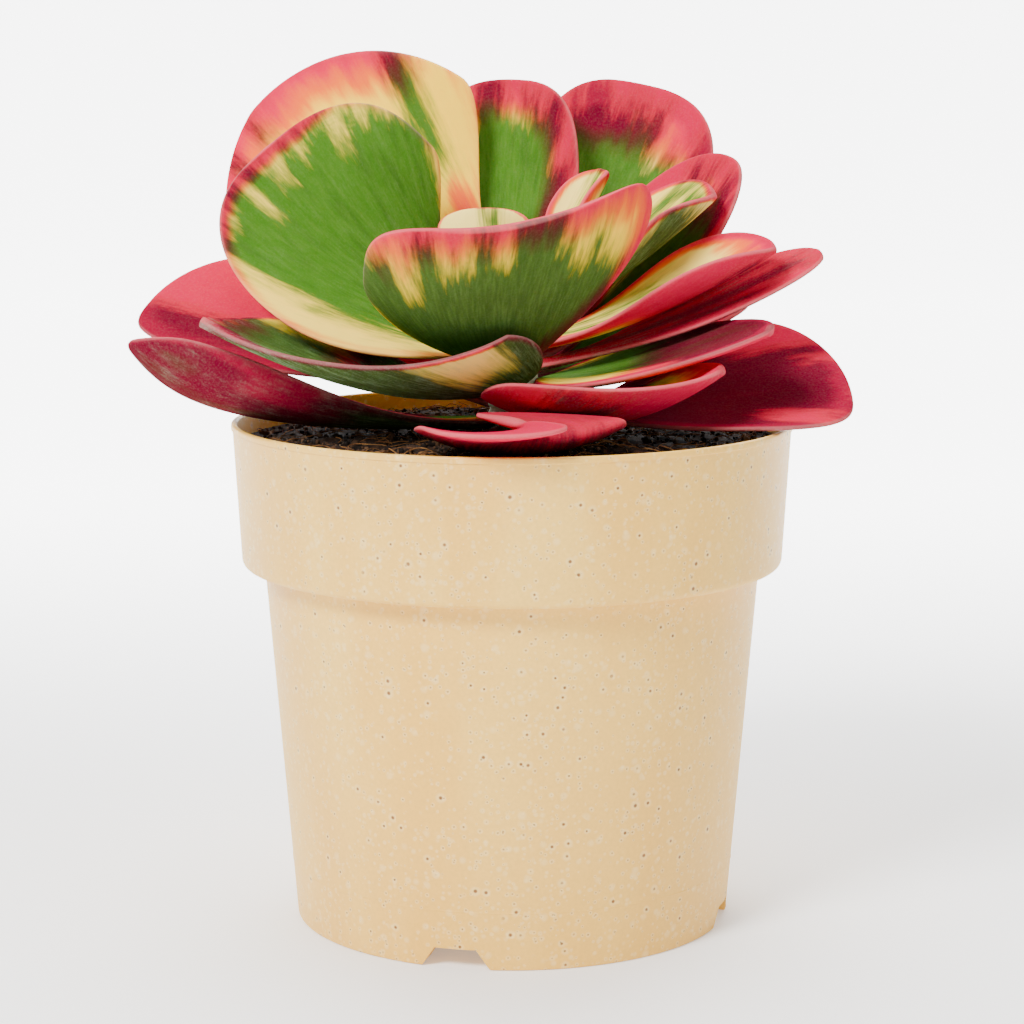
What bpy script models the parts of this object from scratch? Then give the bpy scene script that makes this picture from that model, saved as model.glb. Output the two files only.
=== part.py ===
"""A paddle plant in its nursery pot: a rosette of broad, flat, succulent leaves
on a short stem, standing in soil in a round plastic pot.

Sizes are in millimetres and become metres where a mesh is made. The pot's axis is
the model's middle while the pieces are made, and z = 0 is the surface it stands on.
Azimuths run anticlockwise seen from above, from +X; the front is at 270 degrees.
"""
import math

import bmesh
import bpy
import numpy as np
from mathutils import Matrix

MM = 0.001
GAP = 0.3

RIM_RADIUS = 85.0
POT_HEIGHT = 152.4
FOOT_RADIUS = 66.4
SHOULDER_RADIUS = 75.4
COLLAR_FOOT_RADIUS = 82.1
COLLAR_FOOT_HEIGHT = 109.2
WALL = 1.5
BEAD = 1.9
FLOOR_UNDERSIDE = 6.5
FOOT_WIDTH = 2.2
POT_SIDES = 64

NOTCHES = 4
NOTCH_FIRST_AZIMUTH = 255.6
NOTCH_FOOT_WIDTH = 20.7
NOTCH_TOP_WIDTH = 12.6
NOTCH_HEIGHT = 6.0
NOTCH_DEPTH = 9.0
DRAIN_HOLES = 8
DRAIN_HOLE_RADIUS = 4.0
DRAIN_CIRCLE_RADIUS = 44.0

SOIL_EDGE_HEIGHT = 146.0
SOIL_MIDDLE_HEIGHT = 148.6
SOIL_RIPPLE = 0.5
STEM_HOLE_BOTTOM = 104.0

STEM_RADIUS = 7.0
STEM_TOP_RADIUS = 3.8
STEM_TAPER_FROM = 165.0
STEM_TAPER_LENGTH = 30.0
STEM_TOP = 197.0
STEM_LEAN = (2.0, -2.0)
STEM_LEAN_FROM = 150.0
STEM_LEAN_LENGTH = 50.0
STEM_SIDES = 20

LEAF_ROWS = 12
LEAF_COLUMNS = 9
LEAF_THICKNESS = 3.2
LEAF_EDGE = 1.3

# Each leaf: the height and azimuth at which it leaves the stem, how steeply it
# rises there, where its tip is, its half width (left, right, seen from above and
# looking in from the tip to the stem), and how it is rolled about its midrib and
# cupped at the base, in the middle and at the tip.
LEAVES = {
    "leaf_upper_back_left": dict(
        height=190.5, azimuth=125, rise=36, tip=(-83, 54, 243), width=(43, 54), roll=(0, -52, -58),
        cup=26, widest=(0.52, 0.55), lead=(3.0, 1.9), roundness=(1.9, 1.75), reach=0.35),
    "leaf_upper_left": dict(
        height=174, azimuth=190, rise=25, tip=(-76, -9, 232), width=(41, 36), roll=(-30, -62, -66),
        cup=30, widest=0.6, lead=(2.0, 1.1), roundness=(3.0, 2.3)),
    "leaf_front": dict(
        height=170, azimuth=262, rise=12, tip=(1, -62, 215), width=(42, 57), roll=(0, 12, 16),
        cup=(46, 36), widest=(0.66, 0.82), lead=(1.0, 2.0), roundness=(4.5, 3.0), reach=0.5),
    "leaf_front_left": dict(
        height=163, azimuth=235, rise=-4, tip=(-91, -30, 185), width=(28, 38), roll=(8, 6, 8),
        cup=((90, 80, 50), (52, 55, 65)), widest=(0.6, 0.25), lead=(0.9, 0.7),
        roundness=(3.0, 0.85), reach=0.6, wave=(3, 1), waves=1.5, phase=1.0),
    "leaf_low_left": dict(
        height=151.8, azimuth=188, rise=-1.9, tip=(-113, 0, 174), width=(25, 26), roll=(0, 8, 25),
        cup=((45, 58, 50), (80, 75, 60)), base=0.25, widest=0.72, roundness=2.6, reach=0.86),
    "leaf_low_back_left": dict(
        height=160.5, azimuth=168, rise=10, tip=(-116, 26, 181), width=(36, 12),
        roll=(-20, -34, -36), cup=12),
    "leaf_upper_back": dict(
        height=179.5, azimuth=100, rise=38, tip=(0, 56, 254), width=25, cup=26, roundness=2.6,
        reach=0.5),
    "leaf_upper_back_right": dict(
        height=175.5, azimuth=65, rise=27, tip=(39, 66, 253), width=(35, 26), roll=(0, 18, 25),
        cup=22, lead=(2.6, 1.5), roundness=2.7, reach=0.5),
    "leaf_right_back": dict(
        height=171.4, azimuth=26, rise=23, tip=(67, 25, 231), width=(21, 25), roll=20, cup=20,
        lead=(2.6, 2.8), reach=0.5),
    "leaf_upper_right_folded": dict(
        height=183, azimuth=14, rise=24, tip=(61, 2, 221), width=(22, 29), roll=12,
        cup=(60, 30), widest=(0.7, 0.45), lead=(1.6, 1.0), roundness=(2.0, 3.0)),
    "leaf_young_left": dict(
        height=193.5, azimuth=165, rise=60, tip=(-9, 6, 216), width=15, roll=-10, cup=30),
    "leaf_young_right": dict(
        height=192, azimuth=35, rise=50, tip=(28, 16, 227), width=11, cup=75),
    "leaf_right_folded": dict(
        height=176, azimuth=346, rise=9, tip=(78, -14, 206), width=(17, 19), roll=14,
        cup=(75, 60), base=0.3, widest=0.66),
    "leaf_right_narrow": dict(
        height=169.1, azimuth=354, rise=12, tip=(93, -4, 203), width=(12, 15), roll=20, cup=15,
        lead=1.8),
    "leaf_right": dict(
        height=163.5, azimuth=335, rise=4, tip=(75, -37, 183), width=(16, 24), roll=(5, 10, 10),
        cup=(10, 26), widest=0.4, lead=0.6),
    "leaf_front_right": dict(
        height=159.4, azimuth=314, rise=-18, tip=(61, -40, 172), width=(40, 22), roll=(0, 8, 4),
        cup=((30, 60, 60), (10, 30, 30)), base=(0.37, 0.13), widest=(0.3, 0.6), lead=(0.7, 1.2),
        roundness=(1.6, 2.2), reach=0.55),
    "leaf_low_front": dict(
        height=151.4, azimuth=270, rise=-4.5, tip=(5, -72, 160.5), width=(30, 32), cup=25,
        widest=0.75, roundness=4.0, reach=1.08),
    "leaf_low_right": dict(
        height=153.3, azimuth=346, rise=7, tip=(102, -12, 160), width=(28, 45), roll=(0, 22, 24),
        cup=((10, 30, 30), 5)),
    "leaf_hidden_back_left": dict(
        height=156.5, azimuth=126, rise=8, tip=(-50, 74, 180), width=30, roll=(0, -6, -8), cup=30),
    "leaf_hidden_back_low": dict(
        height=154.4, azimuth=71, rise=3, tip=(10, 92, 168), width=33, cup=26, lead=1.8),
    "leaf_hidden_back": dict(
        height=167, azimuth=72, rise=18, tip=(28, 82, 202), width=26, cup=34, lead=2.0),
    "leaf_hidden_left": dict(
        height=170, azimuth=118, rise=18, tip=(-40, 66, 206), width=28, cup=34, lead=2.0),
    "leaf_hidden_right": dict(
        height=163.5, azimuth=38, rise=10, tip=(68, 60, 186), width=25, roll=6, cup=24),
}
LEAF_DEFAULTS = dict(
    roll=0.0, cup=30.0, base=0.13, widest=0.64, lead=1.5, roundness=2.2, reach=0.4,
    wave=0.0, waves=2.0, phase=0.0)

CREAM = (0.86, 0.68, 0.38)
PEAT = (0.030, 0.021, 0.016)
FROSTED_GREEN = (0.33, 0.42, 0.29)
YELLOW_GREEN = (0.46, 0.47, 0.20)
OLIVE = (0.20, 0.24, 0.12)
MAROON = (0.20, 0.05, 0.06)
LEAF_COLOURS = {
    "leaf_upper_back_left": (0.80, 0.58, 0.27),
    "leaf_upper_left": YELLOW_GREEN,
    "leaf_front": OLIVE,
    "leaf_low_left": MAROON,
    "leaf_low_back_left": MAROON,
    "leaf_right_narrow": MAROON,
    "leaf_right": MAROON,
    "leaf_low_front": MAROON,
    "leaf_low_right": MAROON,
    "leaf_young_left": (0.80, 0.72, 0.42),
    "leaf_young_right": (0.80, 0.62, 0.42),
}


def clear_scene():
    for existing in list(bpy.data.objects):
        bpy.data.objects.remove(existing, do_unlink=True)


def plain_material(name, colour, roughness):
    material = bpy.data.materials.new(name)
    material.use_nodes = True
    shader = material.node_tree.nodes["Principled BSDF"]
    shader.inputs["Base Color"].default_value = (*colour, 1.0)
    shader.inputs["Roughness"].default_value = roughness
    shader.inputs["Metallic"].default_value = 0.0
    return material


def add_object(name, mesh, colour, roughness):
    piece = bpy.data.objects.new(name, mesh)
    bpy.context.scene.collection.objects.link(piece)
    mesh.materials.append(plain_material(name, colour, roughness))
    mesh.shade_smooth()
    mesh.set_sharp_from_angle(angle=math.radians(40))
    return piece


def turned(name, profile, sides):
    """A closed solid: the profile, (radius, height) points in mm, spun about +Z."""
    frame = bmesh.new()
    points = [frame.verts.new((radius * MM, 0.0, height * MM)) for radius, height in profile]
    edges = [frame.edges.new(pair) for pair in zip(points, points[1:])]
    on_axis = profile[0][0] == 0.0 and profile[-1][0] == 0.0
    if not on_axis:
        edges.append(frame.edges.new((points[-1], points[0])))
    bmesh.ops.spin(
        frame, geom=points + edges, cent=(0, 0, 0), axis=(0, 0, 1), angle=math.tau,
        steps=sides, use_merge=True)
    bmesh.ops.remove_doubles(frame, verts=frame.verts, dist=1e-6)
    bmesh.ops.recalc_face_normals(frame, faces=frame.faces)
    mesh = bpy.data.meshes.new(name)
    frame.to_mesh(mesh)
    frame.free()
    return mesh


def cutter(name, mesh):
    tool = bpy.data.objects.new(name, mesh)
    bpy.context.scene.collection.objects.link(tool)
    tool.hide_render = True
    tool.display_type = "WIRE"
    return tool


def combine(piece, tool, operation):
    change = piece.modifiers.new(tool.name, "BOOLEAN")
    change.object = tool
    change.operation = operation
    change.solver = "EXACT"
    return change


def trapezoid_prism(name, foot_width, top_width, bottom, top, near, far, azimuth):
    """A bar with a trapezoid section, lying along the radius at this azimuth."""
    frame = bmesh.new()
    ends = []
    for distance in (near, far):
        outline = [
            (distance, -foot_width / 2, bottom), (distance, foot_width / 2, bottom),
            (distance, top_width / 2, top), (distance, -top_width / 2, top)]
        ends.append([frame.verts.new([value * MM for value in point]) for point in outline])
    frame.faces.new(ends[0])
    frame.faces.new(ends[1][::-1])
    for side in range(4):
        following = (side + 1) % 4
        frame.faces.new((ends[0][side], ends[1][side], ends[1][following], ends[0][following]))
    bmesh.ops.recalc_face_normals(frame, faces=frame.faces)
    frame.transform(Matrix.Rotation(math.radians(azimuth), 4, "Z"))
    mesh = bpy.data.meshes.new(name)
    frame.to_mesh(mesh)
    frame.free()
    return mesh


def joined(name, meshes):
    """One mesh holding several separate closed solids."""
    frame = bmesh.new()
    for mesh in meshes:
        frame.from_mesh(mesh)
    result = bpy.data.meshes.new(name)
    frame.to_mesh(result)
    frame.free()
    return result


def pot_profile():
    """Up the outside from the foot, over the rim and down the inside."""
    rim = RIM_RADIUS
    step = COLLAR_FOOT_HEIGHT
    floor_top = FLOOR_UNDERSIDE + WALL
    inner_foot = FOOT_RADIUS + (SHOULDER_RADIUS - FOOT_RADIUS) * floor_top / step - WALL
    return [
        (0.0, FLOOR_UNDERSIDE),
        (FOOT_RADIUS - FOOT_WIDTH, FLOOR_UNDERSIDE), (FOOT_RADIUS - FOOT_WIDTH, 0.0),
        (FOOT_RADIUS, 0.0), (SHOULDER_RADIUS, step - 1.2), (SHOULDER_RADIUS + 0.8, step),
        (COLLAR_FOOT_RADIUS - 1.8, step), (COLLAR_FOOT_RADIUS - 0.5, step + 1.0),
        (COLLAR_FOOT_RADIUS, step + 3.0), (rim - 0.35, POT_HEIGHT - BEAD - 0.2),
        (rim - 0.35, POT_HEIGHT - BEAD), (rim, POT_HEIGHT - BEAD + 0.4),
        (rim, POT_HEIGHT - 0.5), (rim - 0.5, POT_HEIGHT), (rim - 1.2, POT_HEIGHT),
        (rim - 1.7, POT_HEIGHT - 0.6), (rim - 1.9, POT_HEIGHT - BEAD),
        (COLLAR_FOOT_RADIUS - WALL, step + 3.4), (COLLAR_FOOT_RADIUS - WALL - 1.2, step + WALL),
        (SHOULDER_RADIUS - WALL, step + WALL), (inner_foot, floor_top), (0.0, floor_top)]


def make_pot():
    """The pot, with a return wall round each notch and round drain holes."""
    pot = add_object("pot", turned("pot", pot_profile(), POT_SIDES), CREAM, 0.42)
    azimuths = [NOTCH_FIRST_AZIMUTH + 360 / NOTCHES * turn for turn in range(NOTCHES)]
    hoods = [
        trapezoid_prism(
            "hood", NOTCH_FOOT_WIDTH + 2 * WALL, NOTCH_TOP_WIDTH + 2 * WALL, 0.8,
            FLOOR_UNDERSIDE + 0.7, FOOT_RADIUS - NOTCH_DEPTH, FOOT_RADIUS - 0.8, azimuth)
        for azimuth in azimuths]
    notches = [
        trapezoid_prism(
            "notch", NOTCH_FOOT_WIDTH, NOTCH_TOP_WIDTH, -0.01, NOTCH_HEIGHT,
            FOOT_RADIUS - NOTCH_DEPTH - 1.0, FOOT_RADIUS + 3.0, azimuth)
        for azimuth in azimuths]
    combine(pot, cutter("notch_hoods", joined("notch_hoods", hoods)), "UNION")
    combine(pot, cutter("notch_cutters", joined("notch_cutters", notches)), "DIFFERENCE")
    drills = []
    for hole in range(DRAIN_HOLES + 1):
        drill = bmesh.new()
        bmesh.ops.create_cone(
            drill, cap_ends=True, segments=16, radius1=DRAIN_HOLE_RADIUS * MM,
            radius2=DRAIN_HOLE_RADIUS * MM, depth=8 * MM)
        turn = math.tau * hole / DRAIN_HOLES
        reach = DRAIN_CIRCLE_RADIUS if hole < DRAIN_HOLES else 0.0
        place = (reach * math.cos(turn), reach * math.sin(turn), FLOOR_UNDERSIDE + WALL / 2)
        drill.transform(Matrix.Translation([value * MM for value in place]))
        mesh = bpy.data.meshes.new("drill")
        drill.to_mesh(mesh)
        drill.free()
        drills.append(mesh)
    combine(pot, cutter("drain_drills", joined("drain_drills", drills)), "DIFFERENCE")
    return pot


def soil_height(x, y):
    """The soil's surface: a low mound with shallow ripples, in mm."""
    radius = np.hypot(x, y)
    rim_share = np.clip(radius / (RIM_RADIUS - 2.4), 0.0, 1.0)
    mound = SOIL_MIDDLE_HEIGHT + (SOIL_EDGE_HEIGHT - SOIL_MIDDLE_HEIGHT) * rim_share ** 2
    ripple = np.sin(x * 0.23 + 1.1) * np.cos(y * 0.19 - 0.4) + 0.5 * np.sin(x * 0.11 - y * 0.31)
    return mound + SOIL_RIPPLE * ripple * (1.0 - rim_share ** 6)


def make_soil():
    """The pot's filling of soil, with a plain hole that the stem stands in."""
    step = COLLAR_FOOT_HEIGHT
    floor_top = FLOOR_UNDERSIDE + WALL
    foot = FOOT_RADIUS + (SHOULDER_RADIUS - FOOT_RADIUS) * floor_top / step - WALL - GAP
    edge = RIM_RADIUS - 2.6
    hole = STEM_RADIUS + GAP
    rings = [66.0, 50.0, 34.0, 20.0, 12.0]
    profile = (
        [(0.0, floor_top + GAP), (foot, floor_top + GAP)]
        + [(SHOULDER_RADIUS - WALL - GAP, step + WALL + GAP)]
        + [(COLLAR_FOOT_RADIUS - WALL - 1.6, step + WALL + GAP)]
        + [(COLLAR_FOOT_RADIUS - WALL - 0.5, step + 4.0), (edge - 0.4, SOIL_EDGE_HEIGHT)]
        + [(radius, SOIL_EDGE_HEIGHT + 1.0) for radius in rings]
        + [(hole, SOIL_EDGE_HEIGHT + 1.0), (hole, STEM_HOLE_BOTTOM), (0.0, STEM_HOLE_BOTTOM)])
    mesh = turned("soil", profile, 48)
    for vertex in mesh.vertices:
        x, y, z = (value / MM for value in vertex.co)
        if z > SOIL_EDGE_HEIGHT - 0.1:
            vertex.co.z = float(soil_height(x, y)) * MM
    return add_object("soil", mesh, PEAT, 0.95)


def stem_radius(height):
    taper = np.clip((height - STEM_TAPER_FROM) / STEM_TAPER_LENGTH, 0.0, 1.0)
    return STEM_RADIUS + (STEM_TOP_RADIUS - STEM_RADIUS) * taper


def stem_centre(height):
    share = np.clip((height - STEM_LEAN_FROM) / STEM_LEAN_LENGTH, 0.0, 1.0)
    return STEM_LEAN[0] * share, STEM_LEAN[1] * share


def make_stem():
    """The stem: a tapering round bar with a domed top, leaning a little forward."""
    heights = [STEM_HOLE_BOTTOM + GAP, STEM_LEAN_FROM, 155.0, 165.0, 175.0, 185.0, 193.0]
    rings = [(height, stem_radius(height)) for height in heights]
    rings += [(STEM_TOP - 1.2, STEM_TOP_RADIUS * 0.8), (STEM_TOP - 0.3, STEM_TOP_RADIUS * 0.4)]
    frame = bmesh.new()
    loops = []
    for height, radius in rings:
        x, y = stem_centre(height)
        turns = [math.tau * side / STEM_SIDES for side in range(STEM_SIDES)]
        loops.append([
            frame.verts.new((
                (x + radius * math.cos(turn)) * MM, (y + radius * math.sin(turn)) * MM,
                height * MM))
            for turn in turns])
    for lower, upper in zip(loops, loops[1:]):
        for side in range(STEM_SIDES):
            following = (side + 1) % STEM_SIDES
            frame.faces.new((lower[side], lower[following], upper[following], upper[side]))
    frame.faces.new(loops[0][::-1])
    frame.faces.new(loops[-1])
    bmesh.ops.recalc_face_normals(frame, faces=frame.faces)
    mesh = bpy.data.meshes.new("stem")
    frame.to_mesh(mesh)
    frame.free()
    return add_object("stem", mesh, FROSTED_GREEN, 0.6)


def along(share, values):
    """A value along the leaf: one number, or a quadratic through base, middle and tip."""
    if np.isscalar(values):
        return np.full_like(share, float(values))
    base, middle, tip = values
    return (
        base * 2 * (share - 0.5) * (share - 1) + middle * 4 * share * (1 - share)
        + tip * 2 * share * (share - 0.5))


def per_side(across, value):
    """One number for the whole leaf, or (left, right) for its two halves."""
    if np.isscalar(value):
        return np.full_like(across, float(value))
    return np.where(across >= 0, value[1], value[0])


def paddle_width(share, base, widest, lead, roundness):
    """The outline's half width, 1 at its widest.

    It grows as a quarter sine from the base to the widest place, and closes to the
    tip as a superellipse.
    """
    growth = base + (1 - base) * np.sin(np.pi / 2 * np.clip(share / widest, 0, 1) ** lead)
    beyond = np.clip((share - widest) / (1 - widest), 0, 1)
    return np.where(share < widest, growth, (1 - beyond ** roundness) ** (1 / roundness))


def midrib(leaf):
    """Points and directions along the midrib, a quadratic Bezier curve from the stem
    to the tip, with the share of its length at each."""
    azimuth = math.radians(leaf["azimuth"])
    rise = math.radians(leaf["rise"])
    height = leaf["height"]
    centre_x, centre_y = stem_centre(height)
    distance = stem_radius(height) + 0.5 + 2.0 * abs(math.sin(rise))
    start = np.array([
        centre_x + distance * math.cos(azimuth), centre_y + distance * math.sin(azimuth), height])
    tip = np.array(leaf["tip"], float)
    outward = np.array([
        math.cos(rise) * math.cos(azimuth), math.cos(rise) * math.sin(azimuth), math.sin(rise)])
    bend = start + leaf["reach"] * np.linalg.norm(tip - start) * outward
    t = np.linspace(0.0, 1.0, 401)[:, None]
    points = (1 - t) ** 2 * start + 2 * t * (1 - t) * bend + t ** 2 * tip
    directions = 2 * (1 - t) * (bend - start) + 2 * t * (tip - bend)
    directions /= np.linalg.norm(directions, axis=1, keepdims=True)
    steps = np.linalg.norm(np.diff(points, axis=0), axis=1)
    length = np.concatenate([[0.0], np.cumsum(steps)])
    return length / length[-1], points, directions


def blade(leaf, share, across):
    """The middle surface of a leaf, in mm.

    share runs 0 to 1 from base to tip and across runs -1 to 1 from the left margin to
    the right. Each cross-section is an arc that leaves the midrib level with the
    rolled blade and turns up by the cup angle at the margin. A sine wave along the
    leaf lifts and lowers the margins.
    """
    place, points, directions = midrib(leaf)
    heading = np.unwrap(np.arctan2(directions[:, 1], directions[:, 0]))
    level = np.stack([-np.sin(heading), np.cos(heading), 0 * heading], -1)
    upper = np.cross(directions, level)
    roll = np.radians(along(place, leaf["roll"]))[:, None]
    sideways = level * np.cos(roll) + upper * np.sin(roll)
    face = upper * np.cos(roll) - level * np.sin(roll)

    def sample(values):
        return np.stack([np.interp(share, place, values[:, axis]) for axis in range(3)], -1)

    shape = paddle_width(
        share, per_side(across, leaf["base"]), per_side(across, leaf["widest"]),
        per_side(across, leaf["lead"]), per_side(across, leaf["roundness"]))
    width = per_side(across, leaf["width"]) * shape
    cup = leaf["cup"]
    left_cup, right_cup = (cup, cup) if np.isscalar(cup) else cup
    angle = np.where(across >= 0, along(share, right_cup), along(share, left_cup))
    angle = np.radians(np.maximum(angle * shape, 0.1))
    out = np.abs(across)
    aside = width * np.sin(angle * out) / angle * np.sign(across)
    lift = width * (1 - np.cos(angle * out)) / angle
    ripple = np.sin(math.tau * leaf["waves"] * share + leaf["phase"] + 1.7 * (across < 0))
    grown = np.clip(share * 1.6 - 0.2, 0, 1)
    lift += (
        per_side(across, leaf["wave"]) * out ** 3 * ripple * grown ** 2 * (3 - 2 * grown)
        * np.minimum(1.0, shape * 1.5))
    return sample(points) + sample(sideways) * aside[..., None] + sample(face) * lift[..., None]


def surface_normals(surface):
    rows = np.gradient(surface, axis=0)
    columns = np.gradient(surface, axis=1)
    normal = np.cross(rows, columns)
    size = np.linalg.norm(normal, axis=-1, keepdims=True)
    return normal / np.maximum(size, 1e-9)


def leaf_faces(rows, columns):
    """Triangles of the upper face, the lower face, split alike, and the margin."""
    tip = rows * columns
    half = tip + 1
    faces = []
    for row in range(rows - 1):
        for column in range(columns - 1):
            a = row * columns + column
            b, c, d = a + columns, a + columns + 1, a + 1
            faces += [(a, b, c), (a, c, d)]
    last = (rows - 1) * columns
    faces += [(last + column, tip, last + column + 1) for column in range(columns - 1)]
    faces += [(c + half, b + half, a + half) for a, b, c in faces]
    margin = list(range(columns)) + [row * columns + columns - 1 for row in range(1, rows)]
    margin += [tip] + [row * columns for row in range(rows - 1, 0, -1)]
    for first, second in zip(margin, margin[1:] + margin[:1]):
        faces += [(first, second, second + half), (first, second + half, first + half)]
    return faces


def make_leaf(name, shape):
    """One leaf: a thick blade with a thin margin, closed all round."""
    leaf = {**LEAF_DEFAULTS, **shape}
    spread = np.linspace(0.0, 1.0, LEAF_ROWS)
    share = (1 - (1 - spread) ** 1.6)[:, None] * np.ones(LEAF_COLUMNS)
    across = np.linspace(-1.0, 1.0, LEAF_COLUMNS) * np.ones((LEAF_ROWS, 1))
    middle = blade(leaf, share, across)
    normal = surface_normals(middle)
    normal[-1] = normal[-2].mean(axis=0) / np.linalg.norm(normal[-2].mean(axis=0))
    body = LEAF_EDGE + (LEAF_THICKNESS - LEAF_EDGE) * (1 - np.abs(across) ** 2.5)
    half = (body * (1 + 0.2 * np.exp(-((share / 0.12) ** 2))))[..., None] / 2
    rows = LEAF_ROWS - 1
    sides = []
    for side in (middle + normal * half, middle - normal * half):
        sides += [side[:rows].reshape(-1, 3), side[rows:].mean(axis=1)]
    mesh = bpy.data.meshes.new(name)
    mesh.from_pydata((np.vstack(sides) * MM).tolist(), [], leaf_faces(rows, LEAF_COLUMNS))
    mesh.validate()
    return add_object(name, mesh, LEAF_COLOURS.get(name, OLIVE), 0.5)


def stand_on_origin(pieces):
    """Move every piece alike, so that the middle of the whole footprint is the origin."""
    corners = np.vstack([[tuple(vertex.co) for vertex in piece.data.vertices] for piece in pieces])
    middle = (corners.min(axis=0) + corners.max(axis=0)) / 2
    shift = Matrix.Translation((-middle[0], -middle[1], 0.0))
    for mesh in {thing.data for thing in bpy.data.objects if thing.type == "MESH"}:
        mesh.transform(shift)


clear_scene()
pieces = [make_pot(), make_soil(), make_stem()]
pieces += [make_leaf(name, shape) for name, shape in LEAVES.items()]
stand_on_origin(pieces)
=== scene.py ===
import math

import bmesh
import bpy
import numpy as np
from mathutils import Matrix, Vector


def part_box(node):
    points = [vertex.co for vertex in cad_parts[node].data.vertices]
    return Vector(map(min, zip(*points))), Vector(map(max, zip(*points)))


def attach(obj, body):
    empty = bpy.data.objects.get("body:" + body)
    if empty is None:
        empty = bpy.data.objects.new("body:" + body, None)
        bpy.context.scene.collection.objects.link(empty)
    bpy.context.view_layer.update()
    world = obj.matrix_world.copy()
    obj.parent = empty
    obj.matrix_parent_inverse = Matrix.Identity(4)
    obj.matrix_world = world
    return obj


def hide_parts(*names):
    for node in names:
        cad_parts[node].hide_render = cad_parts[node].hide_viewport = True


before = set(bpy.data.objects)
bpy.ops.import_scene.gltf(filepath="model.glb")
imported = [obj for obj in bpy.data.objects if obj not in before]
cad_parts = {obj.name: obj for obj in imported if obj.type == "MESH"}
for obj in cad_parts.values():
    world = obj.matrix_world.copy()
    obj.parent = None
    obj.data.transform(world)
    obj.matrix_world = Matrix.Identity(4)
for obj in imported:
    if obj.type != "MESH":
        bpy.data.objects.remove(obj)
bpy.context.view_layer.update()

# The camera
# It stands where the photograph was taken from: square to the pot, with a long lens,
# a little above the rim and looking down nine degrees.
MM = 0.001
CAMERA_DISTANCE = 864.4
CAMERA_HEIGHT = 260.8
CAMERA_DROP = 9.0
LENS = 100.75
SENSOR_WIDTH = 36.0

pot_low, pot_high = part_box("pot")
AXIS = np.array([pot_low.x + pot_high.x, pot_low.y + pot_high.y, 0.0]) / 2 / MM


def placed(points):
    """Millimetres from the foot of the pot's axis, turned into the frame's metres."""
    return (np.asarray(points, float) + AXIS) * MM


def put(name, data):
    """A new object in the scene that holds this mesh, light or camera."""
    thing = bpy.data.objects.new(name, data)
    bpy.context.scene.collection.objects.link(thing)
    return thing


camera = put("camera", bpy.data.cameras.new("camera"))
camera.data.lens = LENS
camera.data.sensor_width = SENSOR_WIDTH
camera.location = placed((0.0, -CAMERA_DISTANCE, CAMERA_HEIGHT))
camera.rotation_euler = (math.radians(90.0 - CAMERA_DROP), 0.0, 0.0)
bpy.context.scene.camera = camera

# The pot
# A thin nursery pot, injection moulded in cream plastic with brown specks in it. A
# wider collar stands on its shoulder and ends in a beaded rim. Its foot has four
# notches with return walls, and its raised floor has drain holes.
RIM_RADIUS = 85.0
POT_HEIGHT = 152.4
FOOT_RADIUS = 66.4
SHOULDER_RADIUS = 75.4
COLLAR_FOOT_RADIUS = 82.1
COLLAR_FOOT_HEIGHT = 109.2
WALL = 1.5
BEAD = 1.9
FLOOR_UNDERSIDE = 6.5
FOOT_WIDTH = 2.2
POT_COLUMNS = 288
POT_STEP = 3.0
MOULD_LINE_HEIGHT = 17.5
MOULD_LINE_WIDTH = 0.22
MOULD_LINE_RELIEF = 0.16
NOTCHES = 4
NOTCH_FIRST_AZIMUTH = 255.6
NOTCH_FOOT_WIDTH = 20.7
NOTCH_TOP_WIDTH = 12.6
NOTCH_HEIGHT = 6.0
NOTCH_DEPTH = 9.0
NOTCH_ROUNDING = 0.45
NOTCH_SHARPNESS = 0.9
DRAIN_HOLES = 8
DRAIN_HOLE_RADIUS = 4.0
DRAIN_CIRCLE_RADIUS = 44.0
DRILL_FOOT = 4.0
DRILL_TOP = 11.0
SMOOTH_BELOW = 42.0
MERGE_DISTANCE = 1e-7


def colour(red, green, blue):
    """A colour given as 0 to 255 display values, as the linear numbers that shaders use."""
    share = np.array([red, green, blue]) / 255.0
    linear = np.where(share <= 0.04045, share / 12.92, ((share + 0.055) / 1.055) ** 2.4)
    return (*linear.tolist(), 1.0)


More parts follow.
